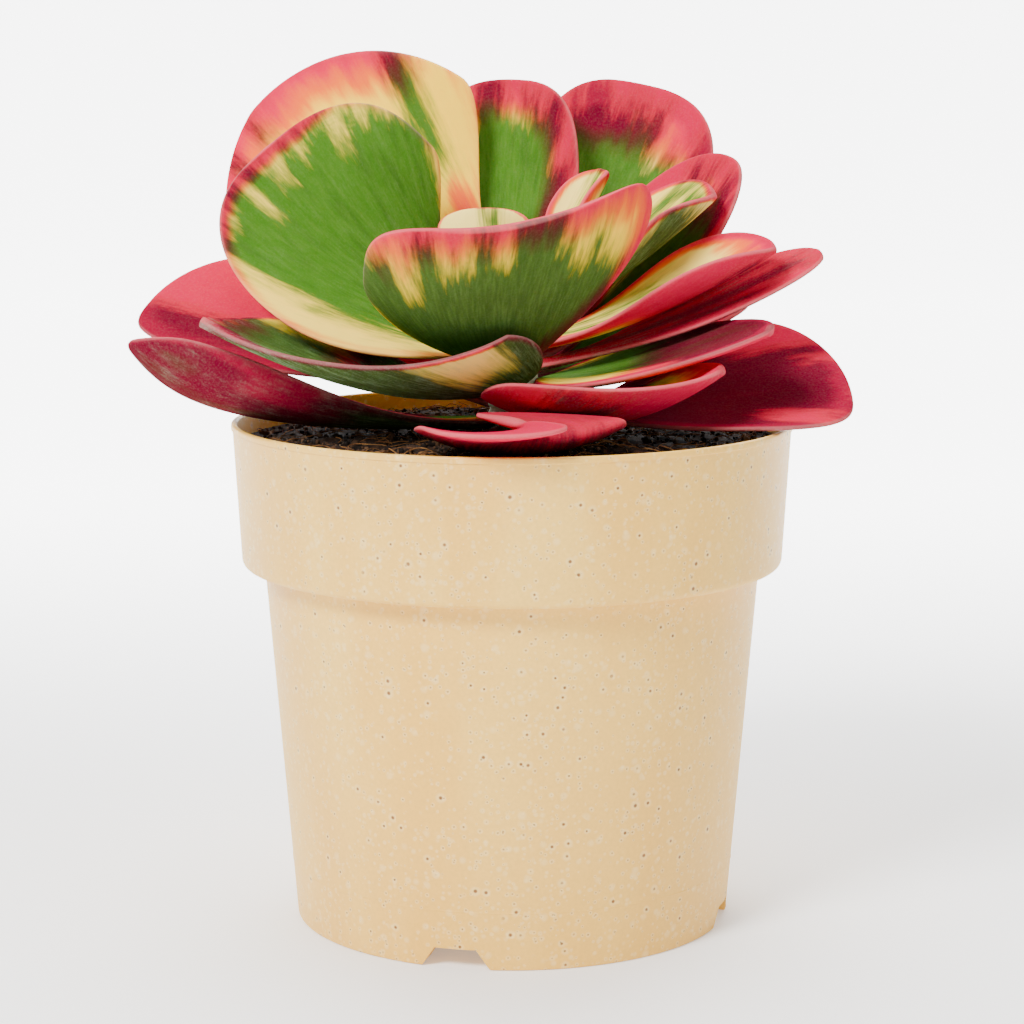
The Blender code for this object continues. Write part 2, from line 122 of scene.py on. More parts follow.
class Finish:
    """A material while it is put together. Each method adds a node and gives its output."""

    def __init__(self, name):
        self.material = bpy.data.materials.new(name)
        self.material.use_nodes = True
        self.shader = self.material.node_tree.nodes["Principled BSDF"]

    def join(self, socket, value):
        if isinstance(value, bpy.types.NodeSocket):
            self.material.node_tree.links.new(value, socket)
        else:
            socket.default_value = value

    def add(self, kind, inputs=(), output=0, **settings):
        node = self.material.node_tree.nodes.new(kind)
        for name, value in settings.items():
            setattr(node, name, value)
        for name, value in dict(inputs).items():
            self.join(node.inputs[name], value)
        return node.outputs[output]

    def object_place(self, stretch=(1.0, 1.0, 1.0)):
        place = self.add("ShaderNodeTexCoord", output="Object")
        return self.add("ShaderNodeVectorMath", {0: place, 1: stretch}, operation="MULTIPLY")

    def stored(self, name):
        return self.add("ShaderNodeAttribute", output="Vector", attribute_name=name)

    def parts(self, vector):
        return self.add("ShaderNodeSeparateXYZ", {0: vector}).node.outputs

    def noise(self, place, scale, detail=2.0, roughness=0.5):
        inputs = {"Vector": place, "Scale": scale, "Detail": detail, "Roughness": roughness}
        return self.add("ShaderNodeTexNoise", inputs)

    def math(self, operation, first, second=0.0, third=0.0):
        inputs = {0: first, 1: second, 2: third}
        return self.add("ShaderNodeMath", inputs, operation=operation)

    def ramp(self, value, low, high, bottom=0.0, top=1.0):
        inputs = {0: value, 1: low, 2: high, 3: bottom, 4: top}
        return self.add("ShaderNodeMapRange", inputs, interpolation_type="SMOOTHSTEP")

    def mix(self, share, first, second):
        inputs = {0: share, 6: first, 7: second}
        return self.add("ShaderNodeMix", inputs, output=2, data_type="RGBA")

    def coat(self, shade, value, start, end, paint, most=1.0):
        """Lays a paint over a shade as the value goes from start to end."""
        return self.mix(self.ramp(value, start, end, 0.0, most), shade, colour(*paint))

    def bump(self, height, depth, normal=None):
        inputs = {"Height": height, "Distance": depth, "Strength": 1.0}
        if normal is not None:
            inputs["Normal"] = normal
        return self.add("ShaderNodeBump", inputs)

    def shade(self, **sockets):
        for name, value in sockets.items():
            self.join(self.shader.inputs[name.replace("_", " ")], value)
        return self.material


def filleted(corners, steps=6):
    """A profile through (radius, height, fillet) corners. Each corner but the first and
    last becomes a quadratic curve that starts and ends its fillet's length away."""
    spots = np.array(corners, float)[:, :2]
    line = [spots[:1]]
    t = np.linspace(0.0, 1.0, steps)[:, None]
    for before, corner, after, entry in zip(spots, spots[1:], spots[2:], corners[1:]):
        start = corner + (before - corner) / np.linalg.norm(before - corner) * entry[2]
        end = corner + (after - corner) / np.linalg.norm(after - corner) * entry[2]
        line.append((1 - t) ** 2 * start + 2 * t * (1 - t) * corner + t ** 2 * end)
    line.append(spots[-1:])
    return np.vstack(line)


def spaced(line, longest):
    """The same line with points added, so that no step is longer than given."""
    steps = np.linalg.norm(np.diff(line, axis=0), axis=1)
    counts = np.maximum(1, np.ceil(steps / longest).astype(int))
    shares = [index + np.arange(count) / count for index, count in enumerate(counts)]
    place = np.concatenate(shares + [[len(line) - 1]])
    return np.stack([np.interp(place, np.arange(len(line)), axis) for axis in line.T], -1)


def around(columns):
    """Angles at equal steps, once round."""
    return np.linspace(0.0, math.tau, columns, endpoint=False)


def turned(line, turns):
    """A profile of (radius, height) points spun about the axis: a grid of rings."""
    radius, height = line[:, :1], line[:, 1:]
    level = height * np.ones_like(turns)
    return np.stack([radius * np.cos(turns), radius * np.sin(turns), level], -1)


def on_vertices(grid):
    """A grid's values in the order of its mesh's vertices, one for each pole."""
    kind = grid.shape[-1]
    return np.vstack([grid[0, :1], grid[1:-1].reshape(-1, kind), grid[-1, :1]])


def skin(name, grid, endless=False):
    """A closed mesh over a grid of points whose rows are rings. The first and last rows
    have shrunk to poles, or in an endless skin the last row joins the first."""
    rows, columns = grid.shape[:2]
    ring = np.arange(columns)
    after = (ring + 1) % columns
    fans = []
    if endless:
        start = np.arange(rows)[:, None] * columns
        following = np.roll(start, -1, axis=0)
        vertices = grid.reshape(-1, 3)
    else:
        start = 1 + np.arange(rows - 3)[:, None] * columns
        following = start + columns
        vertices = on_vertices(grid)
        last, end = 1 + (rows - 3) * columns, 1 + (rows - 2) * columns
        fans += np.stack([0 * ring, 1 + after, 1 + ring], -1).tolist()
        fans += np.stack([end + 0 * ring, last + ring, last + after], -1).tolist()
    quads = np.stack([start + ring, start + after, following + after, following + ring], -1)
    return new_mesh(name, vertices, quads.reshape(-1, 4).tolist() + fans)


def new_mesh(name, points, faces, merge=False):
    """A mesh through points in millimetres, with its faces turned outwards. Where asked,
    points that coincide are merged first."""
    mesh = bpy.data.meshes.new(name)
    mesh.from_pydata(placed(points).tolist(), [], faces)
    edit = bmesh.new()
    edit.from_mesh(mesh)
    if merge:
        bmesh.ops.remove_doubles(edit, verts=edit.verts, dist=MERGE_DISTANCE)
    bmesh.ops.recalc_face_normals(edit, faces=edit.faces)
    edit.to_mesh(mesh)
    edit.free()
    return mesh


def add_piece(name, mesh, finish, node=None):
    """A smooth piece that rides on the plant's one body and may stand for a node."""
    piece = put(name, mesh)
    mesh.materials.clear()
    mesh.materials.append(finish)
    mesh.shade_smooth()
    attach(piece, "root")
    if node:
        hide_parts(node)
    return piece


def prism(foot_width, top_width, bottom, top, near, far, azimuth):
    """A bar with a trapezoid section, lying along the radius at this azimuth."""
    turn = math.radians(azimuth)
    outward = np.array([math.cos(turn), math.sin(turn), 0.0])
    sideways = np.array([-math.sin(turn), math.cos(turn), 0.0])
    outline = [
        (-foot_width / 2, bottom), (foot_width / 2, bottom), (top_width / 2, top),
        (-top_width / 2, top)]
    return [
        reach * outward + aside * sideways + np.array([0.0, 0.0, height])
        for reach in (near, far) for aside, height in outline]


def combine(mesh, shapes, faces, operation):
    """The mesh after a Boolean with closed shapes, each a list of points with the same
    faces."""
    count = len(shapes[0])
    every = [
        [index + count * shape for index in face]
        for shape in range(len(shapes)) for face in faces]
    body = put("blank", mesh)
    tool = put("cutter", new_mesh("cutter", np.vstack(shapes), every))
    change = body.modifiers.new("change", "BOOLEAN")
    change.object = tool
    change.operation = operation
    change.solver = "EXACT"
    graph = bpy.context.evaluated_depsgraph_get()
    result = bpy.data.meshes.new_from_object(body.evaluated_get(graph))
    for thing in (body, tool):
        bpy.data.objects.remove(thing, do_unlink=True)
    return result


def round_notches(mesh):
    """A small rounding along the notches' sharp edges on the outside of the foot."""
    edit = bmesh.new()
    edit.from_mesh(mesh)
    centre = placed((0.0, 0.0, 0.0))
    outer = (FOOT_RADIUS - 0.6) * MM
    edges = []
    for edge in edit.edges:
        middle = (edge.verts[0].co + edge.verts[1].co) / 2
        reach = math.hypot(middle.x - centre[0], middle.y - centre[1])
        low = middle.z < (NOTCH_HEIGHT + 0.3) * MM
        if low and reach > outer and edge.is_manifold:
            if edge.calc_face_angle() > NOTCH_SHARPNESS:
                edges.append(edge)
    bmesh.ops.bevel(
        edit, geom=edges, offset=NOTCH_ROUNDING * MM, segments=3, profile=0.5,
        affect="EDGES", clamp_overlap=True)
    edit.to_mesh(mesh)
    edit.free()


def make_pot():
    """The whole moulding, with a ragged hairline where the mould's halves met."""
    step = COLLAR_FOOT_HEIGHT
    floor_top = FLOOR_UNDERSIDE + WALL
    slope = (SHOULDER_RADIUS - FOOT_RADIUS) / step
    line_heights = MOULD_LINE_HEIGHT + np.arange(-0.9, 1.0, 0.2)
    corners = [
        (0.0, FLOOR_UNDERSIDE, 0), (FOOT_RADIUS - FOOT_WIDTH, FLOOR_UNDERSIDE, 0.8),
        (FOOT_RADIUS - FOOT_WIDTH, 0.0, 0.5), (FOOT_RADIUS, 0.0, 0.6)]
    corners += [(FOOT_RADIUS + slope * height, height, 0.01) for height in line_heights]
    corners += [
        (SHOULDER_RADIUS, step, 0.8), (COLLAR_FOOT_RADIUS, step, 2.2),
        (RIM_RADIUS - 0.45, POT_HEIGHT - BEAD - 0.1, 0.1),
        (RIM_RADIUS, POT_HEIGHT - BEAD + 0.1, 0.15), (RIM_RADIUS, POT_HEIGHT, 0.8),
        (RIM_RADIUS - 1.8, POT_HEIGHT, 0.8), (COLLAR_FOOT_RADIUS - WALL, step + WALL, 2.2),
        (SHOULDER_RADIUS - WALL, step + WALL, 1.0),
        (FOOT_RADIUS + slope * floor_top - WALL, floor_top, 2.0), (0.0, floor_top, 0)]
    line = spaced(filleted(corners), POT_STEP)
    turns = around(POT_COLUMNS)
    grid = turned(line, turns)
    ragged = 0.6 + 0.4 * np.sin(7 * turns + 1) * np.sin(23 * turns) + 0.3 * np.sin(61 * turns + 2)
    outside = line[:, 0] > FOOT_RADIUS - 0.1
    above = (line[:, 1] - MOULD_LINE_HEIGHT) / MOULD_LINE_WIDTH
    ridge = np.where(outside, np.exp(-above ** 2), 0.0)
    swell = MOULD_LINE_RELIEF * ridge[:, None] * np.clip(ragged, 0.1, 1.3)
    grid[..., 0] += swell * np.cos(turns)
    grid[..., 1] += swell * np.sin(turns)
    mesh = skin("pot_moulding", grid)
    azimuths = [NOTCH_FIRST_AZIMUTH + 360 / NOTCHES * turn for turn in range(NOTCHES)]
    box_faces = [
        (0, 1, 2, 3), (7, 6, 5, 4), (0, 4, 5, 1), (1, 5, 6, 2), (2, 6, 7, 3), (3, 7, 4, 0)]
    hoods = [
        prism(
            NOTCH_FOOT_WIDTH + 2 * WALL, NOTCH_TOP_WIDTH + 2 * WALL, 0.8,
            FLOOR_UNDERSIDE + 0.7, FOOT_RADIUS - NOTCH_DEPTH, FOOT_RADIUS - 0.8, azimuth)
        for azimuth in azimuths]
    notches = [
        prism(
            NOTCH_FOOT_WIDTH, NOTCH_TOP_WIDTH, -0.01, NOTCH_HEIGHT,
            FOOT_RADIUS - NOTCH_DEPTH - 1.0, FOOT_RADIUS + 3.0, azimuth)
        for azimuth in azimuths]
    mesh = combine(mesh, hoods, box_faces, "UNION")
    mesh = combine(mesh, notches, box_faces, "DIFFERENCE")
    sides = 24
    turn = around(sides)
    rim = DRAIN_HOLE_RADIUS * np.stack([np.cos(turn), np.sin(turn), 0 * turn], -1)
    drills = []
    for hole in range(DRAIN_HOLES + 1):
        reach = DRAIN_CIRCLE_RADIUS if hole < DRAIN_HOLES else 0.0
        azimuth = math.tau * hole / DRAIN_HOLES
        spot = np.array([reach * math.cos(azimuth), reach * math.sin(azimuth), 0.0])
        drills.append([*(rim + spot + [0, 0, DRILL_FOOT]), *(rim + spot + [0, 0, DRILL_TOP])])
    drill_faces = [list(range(sides)), list(range(sides, 2 * sides))]
    drill_faces += [
        (side, (side + 1) % sides, sides + (side + 1) % sides, sides + side)
        for side in range(sides)]
    mesh = combine(mesh, drills, drill_faces, "DIFFERENCE")
    round_notches(mesh)
    return mesh


# Two sizes of speck: cells to the metre, radius as a share of a cell, and rarity.
SPECKS = ((300.0, 0.13, 0.42), (640.0, 0.16, 0.52))


def pot_plastic():
    """Cream plastic: cloudy from the mould's flow, with clusters of brown specks."""
    plastic = Finish("pot_plastic")
    place = plastic.object_place()
    flow = plastic.noise(plastic.object_place((1.0, 1.0, 0.22)), 34.0, 3.0)
    cloud = plastic.noise(place, 11.0, 2.0)
    grain = plastic.noise(place, 900.0, 2.0)
    cluster = plastic.noise(place, 42.0, 1.5)
    shade = plastic.coat(colour(238, 182, 68), flow, 0.32, 0.68, (246, 198, 90))
    shade = plastic.coat(shade, cloud, 0.35, 0.65, (236, 182, 74), 0.5)
    shade = plastic.coat(shade, grain, 0.2, 0.8, (200, 148, 62), 0.2)
    pits = []
    for scale, size, chance in SPECKS:
        inputs = {"Vector": place, "Scale": scale, "Randomness": 1.0}
        cell = plastic.add("ShaderNodeTexVoronoi", inputs).node
        chosen = plastic.parts(cell.outputs["Color"])
        limit = plastic.math("MULTIPLY_ADD", cluster, -0.9, chance + 0.45)
        kept = plastic.ramp(plastic.math("SUBTRACT", chosen[0], limit), 0.0, 0.08)
        radius = plastic.math("MULTIPLY_ADD", chosen[1], size, size * 0.5)
        near = plastic.math("DIVIDE", cell.outputs["Distance"], radius)
        pits.append(plastic.math("MULTIPLY", plastic.ramp(near, 1.2, 0.5), kept))
        halo = plastic.math("MULTIPLY", plastic.ramp(near, 3.2, 1.2, 0.0, 0.35), kept)
        shade = plastic.mix(halo, shade, colour(250, 224, 160))
    shade = plastic.mix(plastic.math("MULTIPLY", pits[1], 0.6), shade, colour(160, 100, 36))
    shade = plastic.mix(plastic.math("MULTIPLY", pits[0], 0.9), shade, colour(118, 62, 20))
    pitted = plastic.math("ADD", pits[0], pits[1])
    relief = plastic.bump(plastic.math("MULTIPLY", pitted, -1.0), 0.0002)
    relief = plastic.bump(grain, 0.00002, relief)
    relief = plastic.bump(flow, 0.0006, relief)
    return plastic.shade(
        Base_Color=shade, Roughness=plastic.ramp(flow, 0.3, 0.7, 0.40, 0.50), Normal=relief,
        Specular_IOR_Level=0.4)


pot = add_piece("pot_moulding", make_pot(), pot_plastic(), "pot")
pot.data.set_sharp_from_angle(angle=math.radians(SMOOTH_BELOW))

# The soil
# Dark peat, filled to a few millimetres below the rim and mounded a little round the
# stem, with loose crumbs on top and brown coir fibres, thickest at the front left.
SOIL_EDGE_HEIGHT = 146.0
SOIL_MIDDLE_HEIGHT = 148.6
SOIL_RIPPLE = 0.5
SOIL_EDGE = RIM_RADIUS - 3.0
SOIL_ROWS = 110
SOIL_COLUMNS = 240
LUMP_WAVES = 26
LUMP_LENGTHS = (14.0, 1.6)
LUMP_HEIGHT = 0.16
STEM_HOLE = 7.3
CRUMBS = 2600
CRUMB_SIZES = (0.3, 1.9)
FIBRES = 620
FIBRE_POINTS = 13
FIBRE_LENGTHS = (5.0, 19.0)
FIBRE_THICKNESSES = (0.14, 0.42)
TUFT = (-28.0, -66.0)
TUFT_SPREAD = (13.0, 6.0)
TUFT_SHARE = 0.35
SEED = 11
draw = np.random.default_rng(SEED)


def soil_lumps(x, y):
    """A sum of cosine waves in random directions, from the longest to the finest, whose
    heights shrink with their lengths."""
    longest, finest = LUMP_LENGTHS
    length = np.geomspace(longest, finest, LUMP_WAVES)[:, None, None]
    heading = draw.uniform(0.0, math.tau, LUMP_WAVES)[:, None, None]
    phase = draw.uniform(0.0, math.tau, LUMP_WAVES)[:, None, None]
    along = x * np.cos(heading) + y * np.sin(heading)
    waves = np.cos(math.tau * along / length + phase) * (length / longest)
    return LUMP_HEIGHT * waves.sum(axis=0)


def soil_height(x, y):
    """The soil's general surface: a low mound with shallow ripples."""
    rim_share = np.clip(np.hypot(x, y) / (RIM_RADIUS - 2.4), 0.0, 1.0)
    mound = SOIL_MIDDLE_HEIGHT + (SOIL_EDGE_HEIGHT - SOIL_MIDDLE_HEIGHT) * rim_share ** 2
    ripple = np.sin(x * 0.23 + 1.1) * np.cos(y * 0.19 - 0.4) + 0.5 * np.sin(x * 0.11 - y * 0.31)
    return mound + SOIL_RIPPLE * ripple * (1.0 - rim_share ** 6)


def make_soil():
    """The filling: its lumpy top from the stem out to the pot, the side that the pot
    hides, the bottom and the hole that the stem stands in."""
    step = COLLAR_FOOT_HEIGHT
    reach = np.linspace(STEM_HOLE, SOIL_EDGE, SOIL_ROWS)
    hidden = filleted([
        (SOIL_EDGE, SOIL_EDGE_HEIGHT - 1.0, 0), (COLLAR_FOOT_RADIUS - 2.2, step + 4.0, 1.0),
        (COLLAR_FOOT_RADIUS - 4.0, step + 2.0, 0.8), (SHOULDER_RADIUS - 2.0, step + 2.0, 0.8),
        (FOOT_RADIUS - 1.6, FLOOR_UNDERSIDE + WALL + 0.5, 1.0),
        (STEM_HOLE, FLOOR_UNDERSIDE + WALL + 0.5, 1.0), (STEM_HOLE, SOIL_EDGE_HEIGHT - 2.0, 0)])
    line = np.vstack([np.stack([reach, 0 * reach], -1), spaced(hidden, 8.0)])
    grid = turned(line, around(SOIL_COLUMNS))
    top = grid[:SOIL_ROWS]
    x, y = top[..., 0], top[..., 1]
    edge = np.clip((SOIL_EDGE - np.hypot(x, y)) / 3.0, 0.2, 1.0)
    top[..., 2] = soil_height(x, y) + soil_lumps(x, y) * edge
    return skin("soil_filling", grid, endless=True)


def scattered(count, nearest, furthest):
    """Random places on the soil, even over its area."""
    turn = draw.uniform(0.0, math.tau, count)
    reach = np.sqrt(draw.uniform(nearest ** 2, furthest ** 2, count))
    return reach * np.cos(turn), reach * np.sin(turn)


def make_crumbs():
    """Loose crumbs: 20-sided lumps, each stretched along three random axes."""
    edit = bmesh.new()
    bmesh.ops.create_icosphere(edit, subdivisions=1, radius=1.0)
    edit.verts.ensure_lookup_table()
    lump = np.array([vertex.co for vertex in edit.verts])
    faces = np.array([[vertex.index for vertex in face.verts] for face in edit.faces])
    edit.free()
    x, y = scattered(CRUMBS, 10.0, SOIL_EDGE - 2.0)
    size = np.clip(draw.lognormal(-0.35, 0.45, CRUMBS), *CRUMB_SIZES)
    axes = np.linalg.qr(draw.normal(size=(CRUMBS, 3, 3)))[0]
    stretch = draw.uniform(0.55, 1.1, (CRUMBS, 3)) * size[:, None]
    uneven = draw.uniform(0.75, 1.15, (CRUMBS, len(lump), 1))
    shapes = (lump * uneven * stretch[:, None]) @ axes
    centre = np.stack([x, y, soil_height(x, y) + 0.15 * size], -1)
    points = (shapes + centre[:, None]).reshape(-1, 3)
    every = faces + len(lump) * np.arange(CRUMBS)[:, None, None]
    mesh = new_mesh("soil_crumbs", points, every.reshape(-1, 3).tolist())
    tint = np.repeat(draw.uniform(0.0, 1.0, CRUMBS), len(lump))
    keep_values(mesh, "tint", np.stack([tint, tint, tint], -1))
    return mesh


def keep_values(mesh, name, values):
    """Stores three numbers on each vertex for the material to read."""
    attribute = mesh.attributes.new(name, "FLOAT_VECTOR", "POINT")
    attribute.data.foreach_set("vector", np.ascontiguousarray(values, np.float32).ravel())


def make_strands(name, paths, thickness, sides=5):
    """Thin round strands along many paths at once, each closed to a point at both
    ends. A section's first axis is level and its second is square to the path."""
    count, rows = paths.shape[:2]
    along = np.gradient(paths, axis=1)
    along /= np.linalg.norm(along, axis=-1, keepdims=True)
    level = np.stack([-along[..., 1], along[..., 0], 0 * along[..., 0]], -1)
    level /= np.maximum(np.linalg.norm(level, axis=-1, keepdims=True), 1e-6)
    square = np.cross(along, level)
    share = np.linspace(0.0, 1.0, rows)
    taper = np.sqrt(np.clip(4 * share * (1 - share), 0.0, 1.0)) ** 0.6
    turn = around(sides)[:, None]
    ring = level[:, :, None] * np.cos(turn) + square[:, :, None] * np.sin(turn)
    radius = thickness[:, None, None, None] / 2 * taper[None, :, None, None]
    points = paths[:, :, None] + ring * radius
    index = np.arange(count * rows * sides).reshape(count, rows, sides)
    after = np.roll(index, -1, axis=2)
    quads = np.stack([index[:, :-1], after[:, :-1], after[:, 1:], index[:, 1:]], -1)
    return new_mesh(name, points.reshape(-1, 3), quads.reshape(-1, 4).tolist(), merge=True)


def make_fibres():
    """Coir fibres: curling strands that lie on the soil and arch up off it."""
    x, y = scattered(FIBRES, 14.0, SOIL_EDGE - 6.0)
    tuft = draw.uniform(0.0, 1.0, FIBRES) < TUFT_SHARE
    x = np.where(tuft, TUFT[0] + draw.normal(0.0, TUFT_SPREAD[0], FIBRES), x)
    y = np.where(tuft, TUFT[1] + draw.normal(0.0, TUFT_SPREAD[1], FIBRES), y)
    share = np.linspace(-0.5, 0.5, FIBRE_POINTS)
    length = draw.uniform(*FIBRE_LENGTHS, FIBRES)[:, None]
    heading = draw.uniform(0.0, math.tau, FIBRES)[:, None]
    bend = draw.normal(0.0, 1.3, FIBRES)[:, None]
    curl = draw.normal(0.0, 0.5, FIBRES)[:, None]
    angle = heading + bend * share + curl * np.sin(math.tau * 1.5 * share)
    step = length / (len(share) - 1)
    px = x[:, None] + np.cumsum(np.cos(angle) * step, axis=1)
    py = y[:, None] + np.cumsum(np.sin(angle) * step, axis=1)
    reach = np.hypot(px, py)
    inward = np.minimum(1.0, (SOIL_EDGE - 1.5) / reach)
    px, py = px * inward, py * inward
    arch = np.abs(draw.normal(0.0, 1.1, FIBRES))[:, None] + 0.8 * tuft[:, None]
    pz = soil_height(px, py) + 0.25 + arch * np.cos(math.pi * share) ** 1.5
    paths = np.stack([px, py, pz], -1)
    return make_strands("soil_fibres", paths, draw.uniform(*FIBRE_THICKNESSES, FIBRES))


def soil_finish(name, dark, pale, scale):
    """Dull plant matter in two cloudy shades, with paler grains."""
    peat = Finish(name)
    place = peat.object_place()
    patch = peat.noise(place, scale, 4.0, 0.65)
    grain = peat.noise(place, 1400.0, 3.0, 0.7)
    shade = peat.mix(peat.ramp(patch, 0.35, 0.7), dark, pale)
    shade = peat.coat(shade, grain, 0.5, 0.8, (104, 78, 56), 0.5)
    return peat.shade(
        Base_Color=shade, Roughness=0.95, Normal=peat.bump(grain, 0.0004),
        Specular_IOR_Level=0.15)


def crumb_finish():
    """Each crumb has its own stored tint, and one in many is pale."""
    peat = Finish("crumb_peat")
    tint = peat.parts(peat.stored("tint"))[0]
    grain = peat.noise(peat.object_place(), 1600.0, 3.0, 0.7)
    shade = peat.coat(colour(30, 22, 17), tint, 0.3, 1.0, (92, 66, 46))
    shade = peat.coat(shade, tint, 0.93, 1.0, (150, 128, 104))
    shade = peat.coat(shade, grain, 0.45, 0.8, (16, 12, 10), 0.5)
    return peat.shade(
        Base_Color=shade, Roughness=0.93, Normal=peat.bump(grain, 0.0003),
        Specular_IOR_Level=0.15)


soil_dark = soil_finish("soil_peat", colour(24, 17, 13), colour(62, 42, 30), 160.0)
fibre_brown = soil_finish("coir", colour(96, 60, 34), colour(156, 112, 66), 240.0)
add_piece("soil_filling", make_soil(), soil_dark, "soil")
add_piece("soil_crumbs", make_crumbs(), crumb_finish())
add_piece("soil_fibres", make_fibres(), fibre_brown)

# The leaves' common way of growing
# Every leaf is a thick paddle that grows from the stem by a narrow root, with a round
# margin. Green cells fan out from the root in fingers over a cream ground, red pigment
# gathers towards the margin, and a rubbed white wax lies over all of it.
STEM_RADIUS = 7.0
STEM_TOP_RADIUS = 3.8
STEM_TAPER_FROM = 165.0
STEM_TAPER_LENGTH = 30.0
STEM_TOP = 197.0
STEM_LEAN = (2.0, -2.0)
STEM_LEAN_FROM = 150.0
STEM_LEAN_LENGTH = 50.0
LEAF_THICKNESS = 3.2
LEAF_EDGE = 1.3
LEAF_ROWS = 104
ROW_CROWDING = 1.8
MIDRIB_POINTS = 401
FACE_COLUMNS = 47
RIM_TURNS = (30.0, 60.0, 90.0)
ROOT_GAP = 0.5
ROOT_LIFT = 2.0
ROOT_BULGE = 0.2
ROOT_SINK = 1.6
FAN_ROOT = 15.0
FAN_START = -0.2
FAR_FROM_GREEN = -9.0
END_FADE = 0.45
SUN_FADE = 8.0
SHADED_RED = 0.25
BLUSH_FADE = 8.0
RIM_HIGHLIGHT_WIDTH = 0.8
STREAK_ANGLE = 2.4
STREAK_LENGTH = 24.0
LEAF_SEED = 3.7
FACE_SEED = 1.9
LEAF_DEFAULTS = dict(
    roll=0.0, cup=30.0, base=0.13, widest=0.64, lead=1.5, roundness=2.2, reach=0.4,
    wave=0.0, waves=2.0, phase=0.0)
# A face's rim value is the strength of a painted highlight along its margin.
FACE_DEFAULTS = dict(
    green=((0, 24, 0.8),), cream=(), blush=(), sun=(0, 90), sweep=0.0, band=8.0, red=0.9,
    bloom=0.08, root_bloom=0.4, yellow=0.4, grey=0.3, rim=0.15)


def stem_radius(height):
    """The stem's radius, which shrinks evenly along its taper."""
    taper = np.clip((height - STEM_TAPER_FROM) / STEM_TAPER_LENGTH, 0.0, 1.0)
    return STEM_RADIUS + (STEM_TOP_RADIUS - STEM_RADIUS) * taper


def stem_centre(height):
    """The middle of the stem, which moves evenly aside along its lean."""
    share = np.clip((height - STEM_LEAN_FROM) / STEM_LEAN_LENGTH, 0.0, 1.0)
    return STEM_LEAN[0] * share, STEM_LEAN[1] * share


def along(share, values):
    """A value along the leaf: one number, or a quadratic through base, middle and tip."""
    if np.isscalar(values):
        return np.full_like(share, float(values))
    base, middle, tip = values
    return (
        base * 2 * (share - 0.5) * (share - 1) + middle * 4 * share * (1 - share)
        + tip * 2 * share * (share - 0.5))


def per_side(across, value):
    """One number for the whole leaf, or (left, right) for its two halves."""
    if np.isscalar(value):
        return np.full_like(across, float(value))
    return np.where(across >= 0, value[1], value[0])


def paddle_width(share, base, widest, lead, roundness):
    """The outline's half width, 1 at its widest: a quarter sine from the base to the
    widest place, and a superellipse from there to the tip."""
    growth = base + (1 - base) * np.sin(np.pi / 2 * np.clip(share / widest, 0, 1) ** lead)
    beyond = np.clip((share - widest) / (1 - widest), 0, 1)
    return np.where(share < widest, growth, (1 - beyond ** roundness) ** (1 / roundness))


def leaf_outline(leaf, share, across):
    """The outline's half width, as a share of the widest and in mm."""
    shape = paddle_width(
        share, per_side(across, leaf["base"]), per_side(across, leaf["widest"]),
        per_side(across, leaf["lead"]), per_side(across, leaf["roundness"]))
    return shape, per_side(across, leaf["width"]) * shape


def midrib(leaf):
    """Points and directions along the midrib, a quadratic Bezier curve from the stem
    to the tip, with the share of its length at each and the whole length."""
    azimuth = math.radians(leaf["azimuth"])
    rise = math.radians(leaf["rise"])
    height = leaf["height"]
    centre_x, centre_y = stem_centre(height)
    distance = stem_radius(height) + ROOT_GAP + ROOT_LIFT * abs(math.sin(rise))
    start = np.array([
        centre_x + distance * math.cos(azimuth), centre_y + distance * math.sin(azimuth), height])
    tip = np.array(leaf["tip"], float)
    outward = np.array([
        math.cos(rise) * math.cos(azimuth), math.cos(rise) * math.sin(azimuth), math.sin(rise)])
    bend = start + leaf["reach"] * np.linalg.norm(tip - start) * outward
    t = np.linspace(0.0, 1.0, MIDRIB_POINTS)[:, None]
    points = (1 - t) ** 2 * start + 2 * t * (1 - t) * bend + t ** 2 * tip
    directions = 2 * (1 - t) * (bend - start) + 2 * t * (tip - bend)
    directions /= np.linalg.norm(directions, axis=1, keepdims=True)
    steps = np.linalg.norm(np.diff(points, axis=0), axis=1)
    length = np.concatenate([[0.0], np.cumsum(steps)])
    return length / length[-1], points, directions, length[-1]


def blade(leaf, share, across):
    """The middle surface of a leaf. share runs 0 to 1 from base to tip and across -1 to
    1 from the left margin to the right, seen from above and looking in from the tip.
    Each cross-section is an arc that leaves the midrib level with the rolled blade and
    turns up by the cup angle at the margin. A sine wave along the leaf lifts and lowers
    the margins."""
    place, points, directions, _ = midrib(leaf)
    heading = np.unwrap(np.arctan2(directions[:, 1], directions[:, 0]))
    level = np.stack([-np.sin(heading), np.cos(heading), 0 * heading], -1)
    upper = np.cross(directions, level)
    roll = np.radians(along(place, leaf["roll"]))[:, None]
    sideways = level * np.cos(roll) + upper * np.sin(roll)
    face = upper * np.cos(roll) - level * np.sin(roll)

    def sample(values):
        return np.stack([np.interp(share, place, values[:, axis]) for axis in range(3)], -1)

    shape, width = leaf_outline(leaf, share, across)
    cup = leaf["cup"]
    left_cup, right_cup = (cup, cup) if np.isscalar(cup) else cup
    angle = np.where(across >= 0, along(share, right_cup), along(share, left_cup))
    angle = np.radians(np.maximum(angle * shape, 0.1))
    out = np.abs(across)
    aside = width * np.sin(angle * out) / angle * np.sign(across)
    lift = width * (1 - np.cos(angle * out)) / angle
    ripple = np.sin(math.tau * leaf["waves"] * share + leaf["phase"] + 1.7 * (across < 0))
    grown = np.clip(share * 1.6 - 0.2, 0, 1)
    lift += (
        per_side(across, leaf["wave"]) * out ** 3 * ripple * grown ** 2 * (3 - 2 * grown)
        * np.minimum(1.0, shape * 1.5))
    return sample(points) + sample(sideways) * aside[..., None] + sample(face) * lift[..., None]


